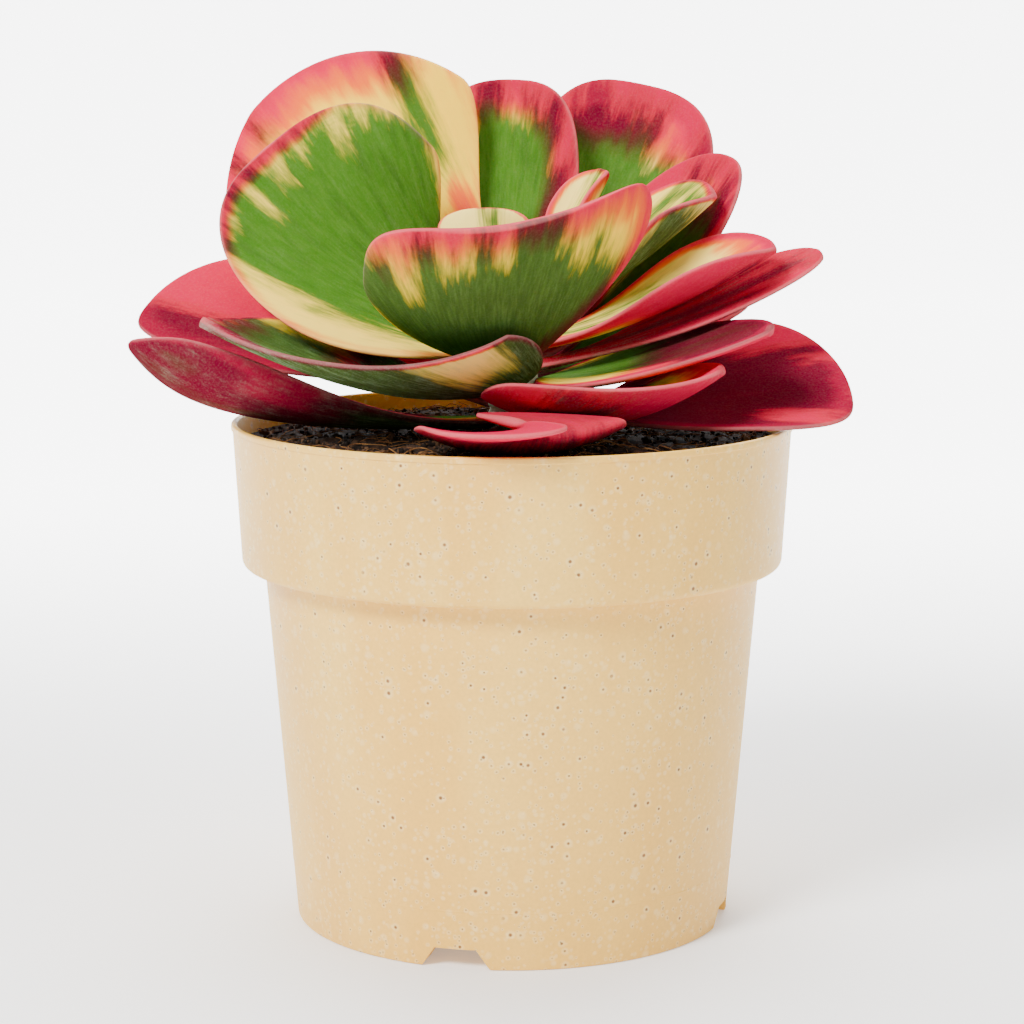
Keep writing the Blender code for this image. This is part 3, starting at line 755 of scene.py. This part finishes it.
def surface_normals(surface):
    """The unit cross product of a grid's two slopes, at each of its points."""
    normal = np.cross(np.gradient(surface, axis=0), np.gradient(surface, axis=1))
    size = np.linalg.norm(normal, axis=-1, keepdims=True)
    return normal / np.maximum(size, 1e-9)


def inside_patches(patches, fan, radius, length):
    """How far inside each patch the points lie, in mm, and negative outside. A patch
    (angle, half angle, from, to) is a stretch of one rib of the fan, in degrees and
    shares of the leaf's length, and one without its from grows out of the root. Its
    ends fade more slowly than its sides."""
    whole = [patch if len(patch) > 3 else (*patch[:2], FAN_START, patch[2]) for patch in patches]
    angle, half, start, end = (np.array(column, float)[:, None, None] for column in zip(*whole))
    aside = np.radians(half - np.abs(fan - angle)) * radius * length
    ends = END_FADE * length * np.minimum(radius - start, end - radius)
    return (aside + ends - np.hypot(aside - ends, 1.5)) / 2


def face_marks(face, fan, radius, margin, length):
    """One face's green, red and bloom, its tones with the strength of a painted highlight
    along the margin, and its ribs' own coordinates. The green is the distance into a green
    finger in mm, and the others are amounts from 0 to 1. The sun reddens the margin within its half
    angle of one rib."""
    look = {**FACE_DEFAULTS, **face}
    fan = fan + look["sweep"] * (1.0 - radius)
    green = np.full_like(fan, FAR_FROM_GREEN)
    if look["green"]:
        green = inside_patches(look["green"], fan, radius, length).max(axis=0)
    if look["cream"]:
        green = np.minimum(green, -inside_patches(look["cream"], fan, radius, length).max(axis=0))
    aim, spread = look["sun"]
    sunned = np.clip((spread - np.abs(fan - aim)) / SUN_FADE + 0.5, SHADED_RED, 1.0)
    red = look["red"] * sunned * np.clip(1.0 - margin / look["band"], 0.0, 1.0) ** 1.2
    for *patch, amount in look["blush"]:
        inside = inside_patches([patch], fan, radius, length)[0]
        red = red + amount * np.clip(0.5 + inside / BLUSH_FADE, 0.0, 1.0)
    bloom = look["bloom"] + look["root_bloom"] * np.exp(-((radius - 0.1) / 0.25) ** 2)
    tones = [np.full_like(fan, look["yellow"]), np.full_like(fan, look["grey"])]
    # The rim value paints a highlight: a pale pink band along the margin that fades out inwards.
    rim = look["rim"] * np.clip(1.0 - margin / RIM_HIGHLIGHT_WIDTH, 0.0, 1.0)
    marks = np.stack([green, np.clip(red, 0.0, 1.2), bloom], -1)
    return {"marks": marks, "tones": np.stack([*tones, rim], -1), "fan": fan[..., None]}


def make_leaf(name, leaf, seed):
    """A closed blade. Its two faces lie half its thickness to either side of the middle
    surface and meet in a round margin, and its root runs on into the stem."""
    share = (1 - (1 - np.linspace(0.0, 1.0, LEAF_ROWS)) ** ROW_CROWDING)[:, None]
    rim = np.radians(RIM_TURNS)
    flat = np.linspace(-1.0, 1.0, FACE_COLUMNS)
    span = np.concatenate([-np.ones(len(rim)), flat, np.ones(len(rim))])
    lap = np.concatenate([rim[::-1], 0 * flat, rim])
    share = share * np.ones_like(span)
    side = np.where(span >= 0, 1.0, -1.0) * np.ones_like(share)
    width = leaf_outline(leaf, share, side)[1]
    rounding = np.minimum(LEAF_EDGE / 2, 0.5 * width)
    aside = span * (width - rounding) + side * rounding * np.sin(lap)
    across = aside / np.maximum(width, 1e-6)
    middle = blade(leaf, share, across)
    normal = surface_normals(middle)
    normal[-1] = normal[-2].mean(axis=0) / np.linalg.norm(normal[-2].mean(axis=0))
    _, _, directions, length = midrib(leaf)
    body = LEAF_EDGE + (LEAF_THICKNESS - LEAF_EDGE) * (1 - np.abs(span) ** 2.5)
    tip_gap = (1 - share) * length
    closing = np.sqrt(1 - np.clip(1 - tip_gap / (LEAF_EDGE / 2), 0, 1) ** 2)
    bulge = 1 + ROOT_BULGE * np.exp(-((share / 0.12) ** 2))
    half = (body / 2 * np.cos(lap) * closing * bulge)[..., None]
    ring = np.concatenate([middle + normal * half, (middle - normal * half)[:, -2:0:-1]], axis=1)
    root = ring[:1].mean(axis=1, keepdims=True)
    sunk = root + (ring[:1] - root) * 0.85 - directions[0] * ROOT_SINK
    pole = np.broadcast_to(root - directions[0] * 1.5 * ROOT_SINK, ring[:1].shape)
    mesh = skin(name, np.concatenate([pole, sunk, ring]))
    aside, lengthwise = across * width, share * length
    fan = np.degrees(np.arctan2(aside, lengthwise + FAN_ROOT))
    whole = length + FAN_ROOT
    radius = np.hypot(aside, lengthwise + FAN_ROOT) / whole
    edge_gap = np.maximum(width * (1 - np.abs(across)), 1e-3)
    margin = 1 / np.sqrt(1 / edge_gap ** 2 + 1 / np.maximum(tip_gap, 1e-3) ** 2)
    upper = face_marks(leaf["upper"], fan, radius, margin, whole)
    lower = face_marks(leaf["lower"], fan, radius, margin, whole)
    for face, start in ((upper, seed), (lower, seed + FACE_SEED)):
        rib = [face["fan"][..., 0] / STREAK_ANGLE, radius * whole / STREAK_LENGTH, 0 * fan + start]
        face["rib"] = np.stack(rib, -1)
    for kind in ("marks", "tones", "rib"):
        values = np.concatenate([upper[kind], lower[kind][:, -2:0:-1]], axis=1)
        values = np.concatenate([values[:1], values[:1], values])
        keep_values(mesh, kind, on_vertices(values))
    return mesh


def leaf_finish():
    """The leaf's skin, read from the numbers stored on its vertices."""
    leaf = Finish("leaf_skin")
    rib = leaf.stored("rib")
    green_depth, red_amount, bloom_amount = leaf.parts(leaf.stored("marks"))
    # The tones hold the cells' yellow and grey, and the strength of the painted rim highlight.
    yellow, grey, rim = leaf.parts(leaf.stored("tones"))
    streak = leaf.noise(rib, 1.0, 3.0, 0.55)
    feather = leaf.noise(rib, 3.3, 3.0, 0.6)
    place = leaf.object_place()
    cloud = leaf.noise(place, 90.0, 3.0, 0.6)
    grain = leaf.noise(place, 1500.0, 2.0, 0.7)
    depth = leaf.math("MULTIPLY_ADD", leaf.math("SUBTRACT", streak, 0.5), 7.0, green_depth)
    depth = leaf.math("MULTIPLY_ADD", leaf.math("SUBTRACT", feather, 0.5), 6.0, depth)
    red = leaf.math("MULTIPLY_ADD", leaf.math("SUBTRACT", streak, 0.5), 0.5, red_amount)
    red = leaf.math("MULTIPLY", red, leaf.ramp(red_amount, 0.02, 0.2))
    ground = leaf.mix(yellow, colour(250, 228, 136), colour(255, 206, 34))
    ground = leaf.coat(ground, red, 0.04, 0.34, (236, 104, 28))
    ground = leaf.coat(ground, red, 0.24, 0.6, (212, 12, 62))
    ground = leaf.coat(ground, red, 0.5, 0.85, (188, 0, 58))
    turning = leaf.coat(colour(166, 162, 40), red, 0.1, 0.5, (166, 30, 42))
    blade_green = leaf.mix(grey, colour(60, 110, 18), colour(56, 68, 32))
    blade_green = leaf.coat(blade_green, feather, 0.3, 0.75, (92, 126, 50), 0.4)
    blade_green = leaf.coat(blade_green, streak, 0.55, 0.3, (40, 72, 20), 0.4)
    blade_green = leaf.coat(blade_green, red, 0.1, 0.45, (70, 44, 24))
    blade_green = leaf.coat(blade_green, red, 0.35, 0.7, (98, 2, 34))
    blade_green = leaf.coat(blade_green, red, 0.9, 1.2, (136, 0, 44))
    shade = leaf.mix(leaf.ramp(depth, -5.0, 0.5, 0.0, 0.6), ground, turning)
    shade = leaf.mix(leaf.ramp(depth, -1.6, 2.6), shade, blade_green)
    shade = leaf.coat(shade, grain, 0.3, 0.9, (200, 200, 170), 0.04)
    dust = leaf.math("MULTIPLY", leaf.ramp(cloud, 0.3, 0.72), leaf.ramp(feather, 0.3, 0.7))
    dust = leaf.math("ADD", dust, leaf.ramp(grain, 0.35, 0.8, 0.0, 0.35))
    dust = leaf.math("MULTIPLY", dust, bloom_amount)
    shade = leaf.coat(shade, dust, 0.0, 1.0, (146, 164, 138), 0.75)
    # Painted highlight: the margin is lightened towards pale pink where the rim value is high.
    shade = leaf.mix(rim, shade, colour(240, 190, 176))
    relief = leaf.bump(feather, 0.00012)
    relief = leaf.bump(cloud, 0.0005, relief)
    relief = leaf.bump(grain, 0.00004, relief)
    return leaf.shade(
        Base_Color=shade, Roughness=leaf.ramp(dust, 0.0, 0.8, 0.5, 0.7), Normal=relief,
        IOR=1.3, Specular_IOR_Level=0.0, Subsurface_Weight=0.12, Subsurface_Scale=0.002)


leaf_skin = leaf_finish()
leaf_roots = []


def grow(leaves):
    """Makes a group of leaves, each in its node's place."""
    for node, shape in leaves.items():
        leaf = {**LEAF_DEFAULTS, **shape}
        leaf_roots.append((leaf["height"], leaf["azimuth"], leaf["width"]))
        mesh = make_leaf("blade" + node[4:], leaf, LEAF_SEED * len(leaf_roots))
        add_piece(mesh.name, mesh, leaf_skin, node)


# The lowest leaves
# The oldest leaves, close over the soil and resting on or just above the rim. Sun has
# turned them maroon and crimson, and handling has rubbed and scratched their wax.
grow({
    "leaf_low_left": dict(
        height=151.8, azimuth=188, rise=-1.9, tip=(-113, 0, 174), width=(25, 26), roll=(0, 8, 25),
        cup=((45, 58, 50), (80, 75, 60)), base=0.25, widest=0.72, roundness=2.6, reach=0.86,
        upper=dict(
            green=((-4, 16, 0.8), (9, 3, 0.3, 0.62)), blush=((6, 40, 0.3, 1.4, 1.0),), band=9,
            red=0.4, bloom=0.1, root_bloom=0.2),
        lower=dict(
            green=((0, 50, 1.2),), blush=((8, 40, 0.5, 1.4, 0.6), (12, 5, 0.45, 0.76, 0.5)),
            band=5, red=0.6, bloom=0.32, grey=0.9)),
    "leaf_low_back_left": dict(
        height=160.5, azimuth=168, rise=10, tip=(-116, 26, 181), width=(36, 12),
        roll=(-20, -34, -36), cup=12,
        upper=dict(
            green=((6, 9, 1.1),), blush=((0, 70, 0.2, 1.4, 0.85),), band=10, red=0.4,
            bloom=0.08, root_bloom=0.1),
        lower=dict(
            green=((0, 40, 0.95),), blush=((0, 50, 0.4, 1.3, 0.5),), bloom=0.5, grey=0.8)),
    "leaf_low_front": dict(
        height=151.4, azimuth=270, rise=-4.5, tip=(5, -72, 160.5), width=(30, 32), cup=25,
        widest=0.75, roundness=4.0, reach=1.08,
        upper=dict(green=((0, 40, 0.8),), blush=((0, 50, 0.4, 1.3, 0.6),), band=12, red=0.6),
        lower=dict(
            green=((0, 26, 0.5, 0.93),), blush=((0, 60, 0.84, 1.4, 1.0),), band=4, red=0.6,
            bloom=0.15, root_bloom=0.0, yellow=0.2)),
    "leaf_low_right": dict(
        height=153.3, azimuth=346, rise=7, tip=(102, -12, 160), width=(28, 45), roll=(0, 22, 24),
        cup=((10, 30, 30), 5),
        upper=dict(
            green=((0, 40, 1.02),),
            cream=((-8.5, 3.4, 0.78, 0.96), (21.5, 4.5, 0.72, 1.1), (12, 1.5, 0.9, 1.1)),
            blush=((0, 70, 0.15, 1.4, 0.9),), band=8, red=0.5, bloom=0.03, root_bloom=0.25),
        lower=dict(
            green=((0, 60, 0.95),), blush=((0, 50, 0.4, 1.3, 0.5),), bloom=0.5, grey=0.8)),
})

# The middle leaves
# Leaves of the season's growth that reach out over the rim. They are folded and
# cupped, so that the photograph shows their frosted backs as often as their faces.
grow({
    "leaf_front": dict(
        height=170, azimuth=262, rise=12, tip=(1, -62, 215), width=(42, 57), roll=(0, 12, 16),
        cup=(46, 36), widest=(0.66, 0.82), lead=(1.0, 2.0), roundness=(4.5, 3.0), reach=0.5,
        upper=dict(green=((0, 30, 0.85),)),
        lower=dict(
            green=(
                (-8, 24, 0.9), (-31, 7, 0.97), (-17.5, 2.8, 0.4, 0.99),
                (-7, 2.6, 0.4, 1.02), (5.5, 6.6, 0.4, 1.06), (22, 2.0, 0.4, 0.95),
                (17, 16, 0.83)),
            cream=((-22.6, 1.6, 0.78, 1.1), (-12.5, 1.6, 0.86, 1.2), (-2.6, 1.6, 0.88, 1.2)),
            sun=(12, 40), band=16, red=0.62, grey=0.7, bloom=0.1, root_bloom=0.4, yellow=1.0)),
    "leaf_front_left": dict(
        height=163, azimuth=235, rise=-4, tip=(-91, -30, 185), width=(28, 38), roll=(8, 6, 8),
        cup=((90, 80, 50), (52, 55, 65)), widest=(0.6, 0.25), lead=(0.9, 0.7),
        roundness=(3.0, 0.85), reach=0.6, wave=(3, 1), waves=1.5, phase=1.0,
        upper=dict(
            green=((0, 60, 1.0),), cream=((-20, 9, 0.6, 0.95),),
            blush=((-12, 8, 0.5, 0.66, 0.6), (4, 14, 0.86, 1.3, 0.5)), band=4, bloom=0.35, grey=0.8,
            yellow=0.9),
        lower=dict(
            green=((6, 50, 1.2),), cream=((30, 9, 0.36, 0.56),), band=2.5, red=0.8,
            bloom=0.45, root_bloom=0.1, grey=1.0, yellow=0.35)),
    "leaf_right_folded": dict(
        height=176, azimuth=346, rise=9, tip=(78, -14, 206), width=(17, 19), roll=14,
        cup=(75, 60), base=0.3, widest=0.66,
        upper=dict(
            green=((-3, 4, 0.85), (9, 2, 0.1, 0.6)), blush=((6, 20, 0.85, 1.3, 0.5),), band=4,
            red=0.7, yellow=0.45),
        lower=dict(
            green=((-3.5, 2, 0.3, 0.95),), blush=((-9, 30, 0.5, 1.4, 0.8),), band=5, red=0.9,
            yellow=0.5, root_bloom=0.3)),
    "leaf_right_narrow": dict(
        height=169.1, azimuth=354, rise=12, tip=(93, -4, 203), width=(12, 15), roll=20, cup=15,
        lead=1.8,
        upper=dict(
            green=((0, 2.5, 0.2, 0.95), (5.5, 1.2, 0.4, 0.9), (-5, 1.2, 0.3, 0.85)),
            blush=((0, 60, 0.3, 1.4, 1.0),), band=5, bloom=0.2),
        lower=dict(
            green=((0, 12, 0.95),), blush=((0, 60, 0.2, 1.4, 0.7),), band=5, bloom=0.4)),
    "leaf_right": dict(
        height=163.5, azimuth=335, rise=4, tip=(75, -37, 183), width=(16, 24), roll=(5, 10, 10),
        cup=(10, 26), widest=0.4, lead=0.6,
        upper=dict(
            green=((10, 17, 1.08), (-10, 8, 0.7, 1.0)), blush=((4, 30, 0.52, 1.4, 0.6),),
            band=4.5, red=1.1, bloom=0.12, grey=0.3, yellow=0.8),
        lower=dict(green=((0, 30, 0.6),), band=14, red=1.0, yellow=0.6)),
    "leaf_front_right": dict(
        height=159.4, azimuth=314, rise=-18, tip=(61, -40, 172), width=(40, 22), roll=(0, 8, 4),
        cup=((30, 60, 60), (10, 30, 30)), base=(0.37, 0.13), widest=(0.3, 0.6), lead=(0.7, 1.2),
        roundness=(1.6, 2.2), reach=0.55,
        upper=dict(
            green=((0, 60, 0.66),), band=5, red=1.0, yellow=0.8,
            blush=((0, 60, 0.86, 1.3, 0.8),)),
        lower=dict(
            green=((-27, 9, 0.45, 0.76),), blush=((-20, 70, 0.1, 1.4, 1.0),), band=3, bloom=0.22,
            root_bloom=0.0)),
})

# The upper leaves
# Broad young paddles that stand up behind the stem and face the light, the most
# boldly marked of all.
grow({
    "leaf_upper_back_left": dict(
        height=190.5, azimuth=125, rise=36, tip=(-83, 54, 243), width=(43, 54),
        roll=(0, -52, -58), cup=26, widest=(0.52, 0.55), lead=(3.0, 1.9), roundness=(1.9, 1.75),
        reach=0.35,
        upper=dict(
            sweep=-20,
            green=((-25.6, 2.4, 0.52, 0.83), (1, 1.0, 0.92, 1.0), (8, 1.2, 0.92, 1.0)),
            sun=(22, 50), band=20, red=0.72, yellow=1.0, bloom=0.05, root_bloom=0.2),
        lower=dict(green=((-20, 5, 0.2, 0.9), (0, 4, 0.2, 0.8)), band=16, yellow=0.4, bloom=0.3)),
    "leaf_upper_left": dict(
        height=174, azimuth=190, rise=25, tip=(-76, -9, 232), width=(41, 36),
        roll=(-30, -62, -66), cup=30, widest=0.6, lead=(2.0, 1.1), roundness=(3.0, 2.3),
        upper=dict(
            green=(
                (-6, 24, 0.93), (6, 13, 0.3, 0.96), (-10.5, 3.2, 0.4, 0.99), (-16, 1.4, 0.5, 0.98),
                (-20, 1.5, 0.5, 0.96), (-24, 1.5, 0.5, 0.93), (-3.5, 2.2, 0.4, 0.98),
                (2.5, 2.4, 0.4, 1.0), (8, 2.6, 0.4, 1.01), (13.5, 2.0, 0.5, 0.97),
                (18.5, 2.4, 0.2, 0.66)),
            cream=((5.4, 0.7, 0.86, 1.1), (-0.6, 0.6, 0.9, 1.1), (-13.4, 0.6, 0.88, 1.1)),
            sun=(2, 16), band=7, red=0.95, yellow=0.7, grey=0.1, bloom=0.12, root_bloom=0.55),
        lower=dict(green=((0, 36, 0.8),), band=6, grey=0.8, bloom=0.4)),
    "leaf_upper_back": dict(
        height=179.5, azimuth=100, rise=38, tip=(0, 56, 254), width=25, cup=26, roundness=2.6,
        reach=0.5,
        upper=dict(
            green=(
                (-3, 14, 0.89), (3.8, 2.8, 0.0, 1.02), (0, 0.9, 0.4, 0.925),
                (-5, 1.5, 0.4, 0.945), (-9.7, 2.2, 0.4, 0.955)),
            cream=((-14.8, 2.4, 0.72, 0.92),), band=15, red=1.15, yellow=0.8, grey=0.15,
            bloom=0.06),
        lower=dict(green=((0, 16, 0.85),), band=10, grey=0.8, bloom=0.4)),
    "leaf_upper_back_right": dict(
        height=175.5, azimuth=65, rise=27, tip=(39, 66, 253), width=(35, 26), roll=(0, 18, 25),
        cup=22, lead=(2.6, 1.5), roundness=2.7, reach=0.5,
        upper=dict(
            green=(
                (0, 20, 0.92), (9.6, 2.4, 0.3, 0.95), (5, 2.2, 0.3, 0.99),
                (-2, 1.2, 0.4, 0.95), (-8.3, 1.2, 0.4, 0.96)),
            cream=((-11, 4, 0.8, 1.1), (12, 2.5, 0.8, 1.1)),
            blush=((-7, 16, 0.8, 1.4, 0.55), (8, 8, 0.88, 1.4, 0.5)), band=9, red=1.3,
            bloom=0.03),
        lower=dict(green=((0, 22, 0.86),), band=10, grey=0.8, bloom=0.4)),
    "leaf_right_back": dict(
        height=171.4, azimuth=26, rise=23, tip=(67, 25, 231), width=(21, 25), roll=20, cup=20,
        lead=(2.6, 2.8), reach=0.5,
        upper=dict(
            green=(
                (-3, 9, 0.89), (5, 1.2, 0.4, 0.95), (0.3, 1.4, 0.4, 0.965),
                (-6, 2.5, 0.4, 0.97), (-10, 2, 0.3, 0.9)),
            cream=((-16, 4, 0.66, 0.95), (11, 3, 0.86, 1.1)),
            blush=((0, 40, 0.74, 1.4, 0.55),), band=8, red=1.3, bloom=0.03),
        lower=dict(green=((0, 14, 0.85),), band=8, grey=0.8, bloom=0.4)),
    "leaf_upper_right_folded": dict(
        height=183, azimuth=14, rise=24, tip=(61, 2, 221), width=(22, 29), roll=12,
        cup=(60, 30), widest=(0.7, 0.45), lead=(1.6, 1.0), roundness=(2.0, 3.0),
        upper=dict(
            green=((4, 12, 0.97),), cream=((9.5, 1.3, 0.72, 1.0), (20, 4, 0.55, 0.95)),
            band=3.5, red=0.85, yellow=0.55, bloom=0.15),
        lower=dict(
            green=((-12, 7, 0.95),), cream=((-3.5, 2, 0.3, 1.0),), band=2.5, grey=1.0,
            bloom=0.35, yellow=0.1)),
})

# The young leaves
# The newest pair at the top of the stem, still small, thin-skinned and mostly cream.
grow({
    "leaf_young_left": dict(
        height=193.5, azimuth=165, rise=60, tip=(-9, 6, 216), width=15, roll=-10, cup=30,
        upper=dict(
            green=((-5, 4, 0.8, 0.97),), band=1.2, red=0.5, yellow=0.25, bloom=0.0,
            root_bloom=0.1),
        lower=dict(green=((0, 6, 0.3, 0.85),), band=1.5, red=0.5, yellow=0.3)),
    "leaf_young_right": dict(
        height=192, azimuth=35, rise=50, tip=(28, 16, 227), width=11, cup=75,
        upper=dict(
            green=((-1, 2.2, 0.3, 1.05),), band=3.5, red=0.6, yellow=0.3, bloom=0.05,
            root_bloom=0.1),
        lower=dict(
            green=((-2, 2, 0.2, 0.9),), band=5, red=0.6, yellow=0.4, bloom=0.05,
            root_bloom=0.1)),
})

# The leaves at the back
# The photograph doesn't show them: five ordinary leaves that fill the rosette behind.
grow({
    "leaf_hidden_back_left": dict(
        height=156.5, azimuth=126, rise=8, tip=(-50, 74, 180), width=30, roll=(0, -6, -8), cup=30,
        upper=dict(
            green=((0, 18, 0.84), (8, 3, 0.3, 0.95), (-7, 4, 0.3, 0.96), (1, 2, 0.3, 0.93)),
            band=10),
        lower=dict(green=((0, 20, 0.85), (9, 3, 0.3, 0.95)), band=8, grey=0.8, bloom=0.4)),
    "leaf_hidden_back_low": dict(
        height=154.4, azimuth=71, rise=3, tip=(10, 92, 168), width=33, cup=26, lead=1.8,
        upper=dict(
            green=((0, 20, 0.88), (7, 3, 0.3, 0.97), (-9, 3, 0.3, 0.96)),
            blush=((0, 40, 0.5, 1.4, 0.7),), band=10),
        lower=dict(
            green=((0, 20, 0.9),), blush=((0, 40, 0.5, 1.4, 0.7),), bloom=0.45, grey=0.8)),
    "leaf_hidden_back": dict(
        height=167, azimuth=72, rise=18, tip=(28, 82, 202), width=26, cup=34, lead=2.0,
        upper=dict(green=((0, 14, 0.8), (-8, 3, 0.3, 0.95), (4, 3, 0.3, 0.97)), band=9),
        lower=dict(
            green=((0, 14, 0.8), (8, 3, 0.3, 0.95), (-3, 3, 0.3, 0.97)), band=9, grey=0.8,
            bloom=0.35)),
    "leaf_hidden_left": dict(
        height=170, azimuth=118, rise=18, tip=(-40, 66, 206), width=28, cup=34, lead=2.0,
        upper=dict(green=((3, 13, 0.8), (10, 3, 0.3, 0.95), (-5, 3, 0.3, 0.95)), band=9),
        lower=dict(
            green=((0, 14, 0.78), (-9, 3, 0.3, 0.95), (3, 4, 0.3, 0.96)), band=9, grey=0.8,
            bloom=0.35, yellow=0.7)),
    "leaf_hidden_right": dict(
        height=163.5, azimuth=38, rise=10, tip=(68, 60, 186), width=25, roll=6, cup=24,
        upper=dict(
            green=((0, 16, 0.88), (6, 3, 0.3, 0.96)), blush=((0, 40, 0.6, 1.4, 0.6),),
            band=8),
        lower=dict(
            green=((0, 16, 0.88), (-6, 3, 0.3, 0.96)), blush=((0, 40, 0.7, 1.4, 0.5),),
            band=9, grey=0.8, bloom=0.4)),
})

# The stem
# A short thick stem, pale green under white wax. It swells where each leaf grows from
# it and keeps a brown crescent where an old one fell.
SCARS = ((153.0, 250.0), (154.5, 300.0), (157.0, 200.0), (158.5, 280.0))
STEM_BURIED = (110.0, 148.0)
STEM_SHOWN_FROM = 149.0
STEM_DOME = 3.0
STEM_COLUMNS = 96
ROOT_SWELLING = 0.9
SCAR_LIP = 0.45
SCAR_GROOVE = 0.35


def angle_gap(turns, azimuth):
    """How far each angle lies from an azimuth, the short way round."""
    return (turns - math.radians(azimuth) + math.pi) % math.tau - math.pi


def make_stem():
    """A tapering, leaning tube with a domed top. Each leaf's root adds a bump, a bell
    curve in height and azimuth, and each scar a thin ring with a sharp upper edge."""
    top = STEM_TOP - STEM_DOME
    heights = np.concatenate([
        np.linspace(*STEM_BURIED, 6), np.linspace(STEM_SHOWN_FROM, top, 150)])
    turns = around(STEM_COLUMNS)
    level = heights[:, None]
    radius = stem_radius(level) * np.ones_like(turns)
    for height, azimuth, width in leaf_roots:
        wide = 0.13 * np.mean(width) / stem_radius(height)
        spread = np.exp(-(angle_gap(turns, azimuth) / max(wide, 0.35)) ** 2)
        radius += ROOT_SWELLING * spread * np.exp(-((level - height) / 2.4) ** 2)
    for height, azimuth in SCARS:
        crescent = np.exp(-(angle_gap(turns, azimuth) / 0.55) ** 4)
        curve = height + 1.6 * angle_gap(turns, azimuth) ** 2
        radius += SCAR_LIP * crescent * np.exp(-((level - curve) / 0.5) ** 2)
        radius -= SCAR_GROOVE * crescent * np.exp(-((level - curve + 1.3) / 0.7) ** 2)
    radius *= 1 + 0.012 * np.sin(5 * turns + level * 0.4) + 0.01 * np.sin(11 * turns - level * 0.3)
    dome = np.linspace(0.15, 1.0, 8)[:, None] * math.pi / 2
    rounded = top + STEM_DOME * np.sin(dome[:, 0])
    heights = np.concatenate([heights[:1], heights, rounded])[:, None]
    radius = np.concatenate([radius[:1] * 0, radius, radius[-1:] * np.cos(dome)])
    centre_x, centre_y = stem_centre(heights)
    x = centre_x + radius * np.cos(turns)
    y = centre_y + radius * np.sin(turns)
    return skin("stem_stalk", np.stack([x, y, heights * np.ones_like(turns)], -1))


def stem_finish():
    """Pale green under wax, browner towards the soil."""
    bark = Finish("stem_skin")
    place = bark.object_place()
    band = bark.noise(bark.object_place((1.0, 1.0, 3.0)), 160.0, 4.0, 0.6)
    grain = bark.noise(place, 1300.0, 2.0, 0.6)
    height = bark.parts(place)[2]
    shade = bark.coat(colour(150, 168, 128), band, 0.3, 0.7, (196, 206, 180))
    old = bark.math("MULTIPLY", bark.ramp(height, 0.161, 0.150), bark.ramp(band, 0.35, 0.65))
    shade = bark.mix(bark.math("MULTIPLY", old, 0.75), shade, colour(122, 104, 78))
    shade = bark.coat(shade, grain, 0.5, 0.9, (224, 228, 216), 0.4)
    relief = bark.bump(band, 0.0006)
    return bark.shade(
        Base_Color=shade, Roughness=0.62, Normal=bark.bump(grain, 0.00006, relief),
        Specular_IOR_Level=0.35)


add_piece("stem_stalk", make_stem(), stem_finish(), "stem")

# The studio
# A pale floor that curves up far behind the plant and glows white there, one large soft
# light high on the left of the camera, a weak one on the right, one overhead, and even
# light from all round.
FLOOR_WIDTH = 6.0
FLOOR_FRONT = -4.0
SWEEP_START = 2.2
SWEEP_RADIUS = 1.2
BACKDROP_TOP = 4.0
BELOW_THE_FOOT = 0.0001
GLOW_DEPTHS = (0.05, 0.9)
GLOW_STRENGTHS = (0.3, 5.0)
LIGHTS_AIM = np.array([0.0, 0.0, 0.15])
SKY_STRENGTH = 0.35


def make_floor():
    """A strip that runs level from behind the camera, bends up in a quarter circle and
    goes on as a wall."""
    bend = np.linspace(0.0, math.pi / 2, 24)
    curve = SWEEP_START + SWEEP_RADIUS * np.sin(bend)
    depth = np.concatenate([[FLOOR_FRONT], curve, [SWEEP_START + SWEEP_RADIUS]])
    height = np.concatenate([[0.0], SWEEP_RADIUS * (1 - np.cos(bend)), [BACKDROP_TOP]])
    height -= BELOW_THE_FOOT
    strip = [(side * FLOOR_WIDTH / 2, y, z) for y, z in zip(depth, height) for side in (-1, 1)]
    faces = [(2 * row, 2 * row + 1, 2 * row + 3, 2 * row + 2) for row in range(len(depth) - 1)]
    mesh = bpy.data.meshes.new("floor")
    mesh.from_pydata(strip, [], faces)
    mesh.shade_smooth()
    paper = Finish("floor_paper")
    glow = paper.ramp(paper.parts(paper.object_place())[1], *GLOW_DEPTHS, *GLOW_STRENGTHS)
    mesh.materials.append(paper.shade(
        Base_Color=(0.9, 0.9, 0.9, 1.0), Roughness=0.9, Emission_Color=(1.0, 1.0, 1.0, 1.0),
        Emission_Strength=glow))
    put("floor", mesh)


def soft_light(name, spot, size, power):
    """A round lamp at a spot, turned towards the middle of the pot."""
    light = bpy.data.lights.new(name, "AREA")
    light.shape = "DISK"
    light.size = size
    light.energy = power
    lamp = put(name, light)
    lamp.location = spot
    towards = LIGHTS_AIM - np.array(spot)
    lamp.rotation_euler = (
        math.acos(-towards[2] / np.linalg.norm(towards)), 0.0,
        math.atan2(towards[1], towards[0]) - math.pi / 2)


make_floor()
soft_light("key_light", (-0.9, -1.3, 1.5), 0.7, 78.0)
soft_light("fill_light", (1.3, -1.2, 0.9), 1.4, 8.0)
soft_light("top_light", (0.0, 0.3, 1.9), 1.2, 36.0)
world = bpy.data.worlds.new("studio")
bpy.context.scene.world = world
world.use_nodes = True
sky = world.node_tree.nodes["Background"].inputs
sky["Color"].default_value = (1.0, 1.0, 1.0, 1.0)
sky["Strength"].default_value = SKY_STRENGTH
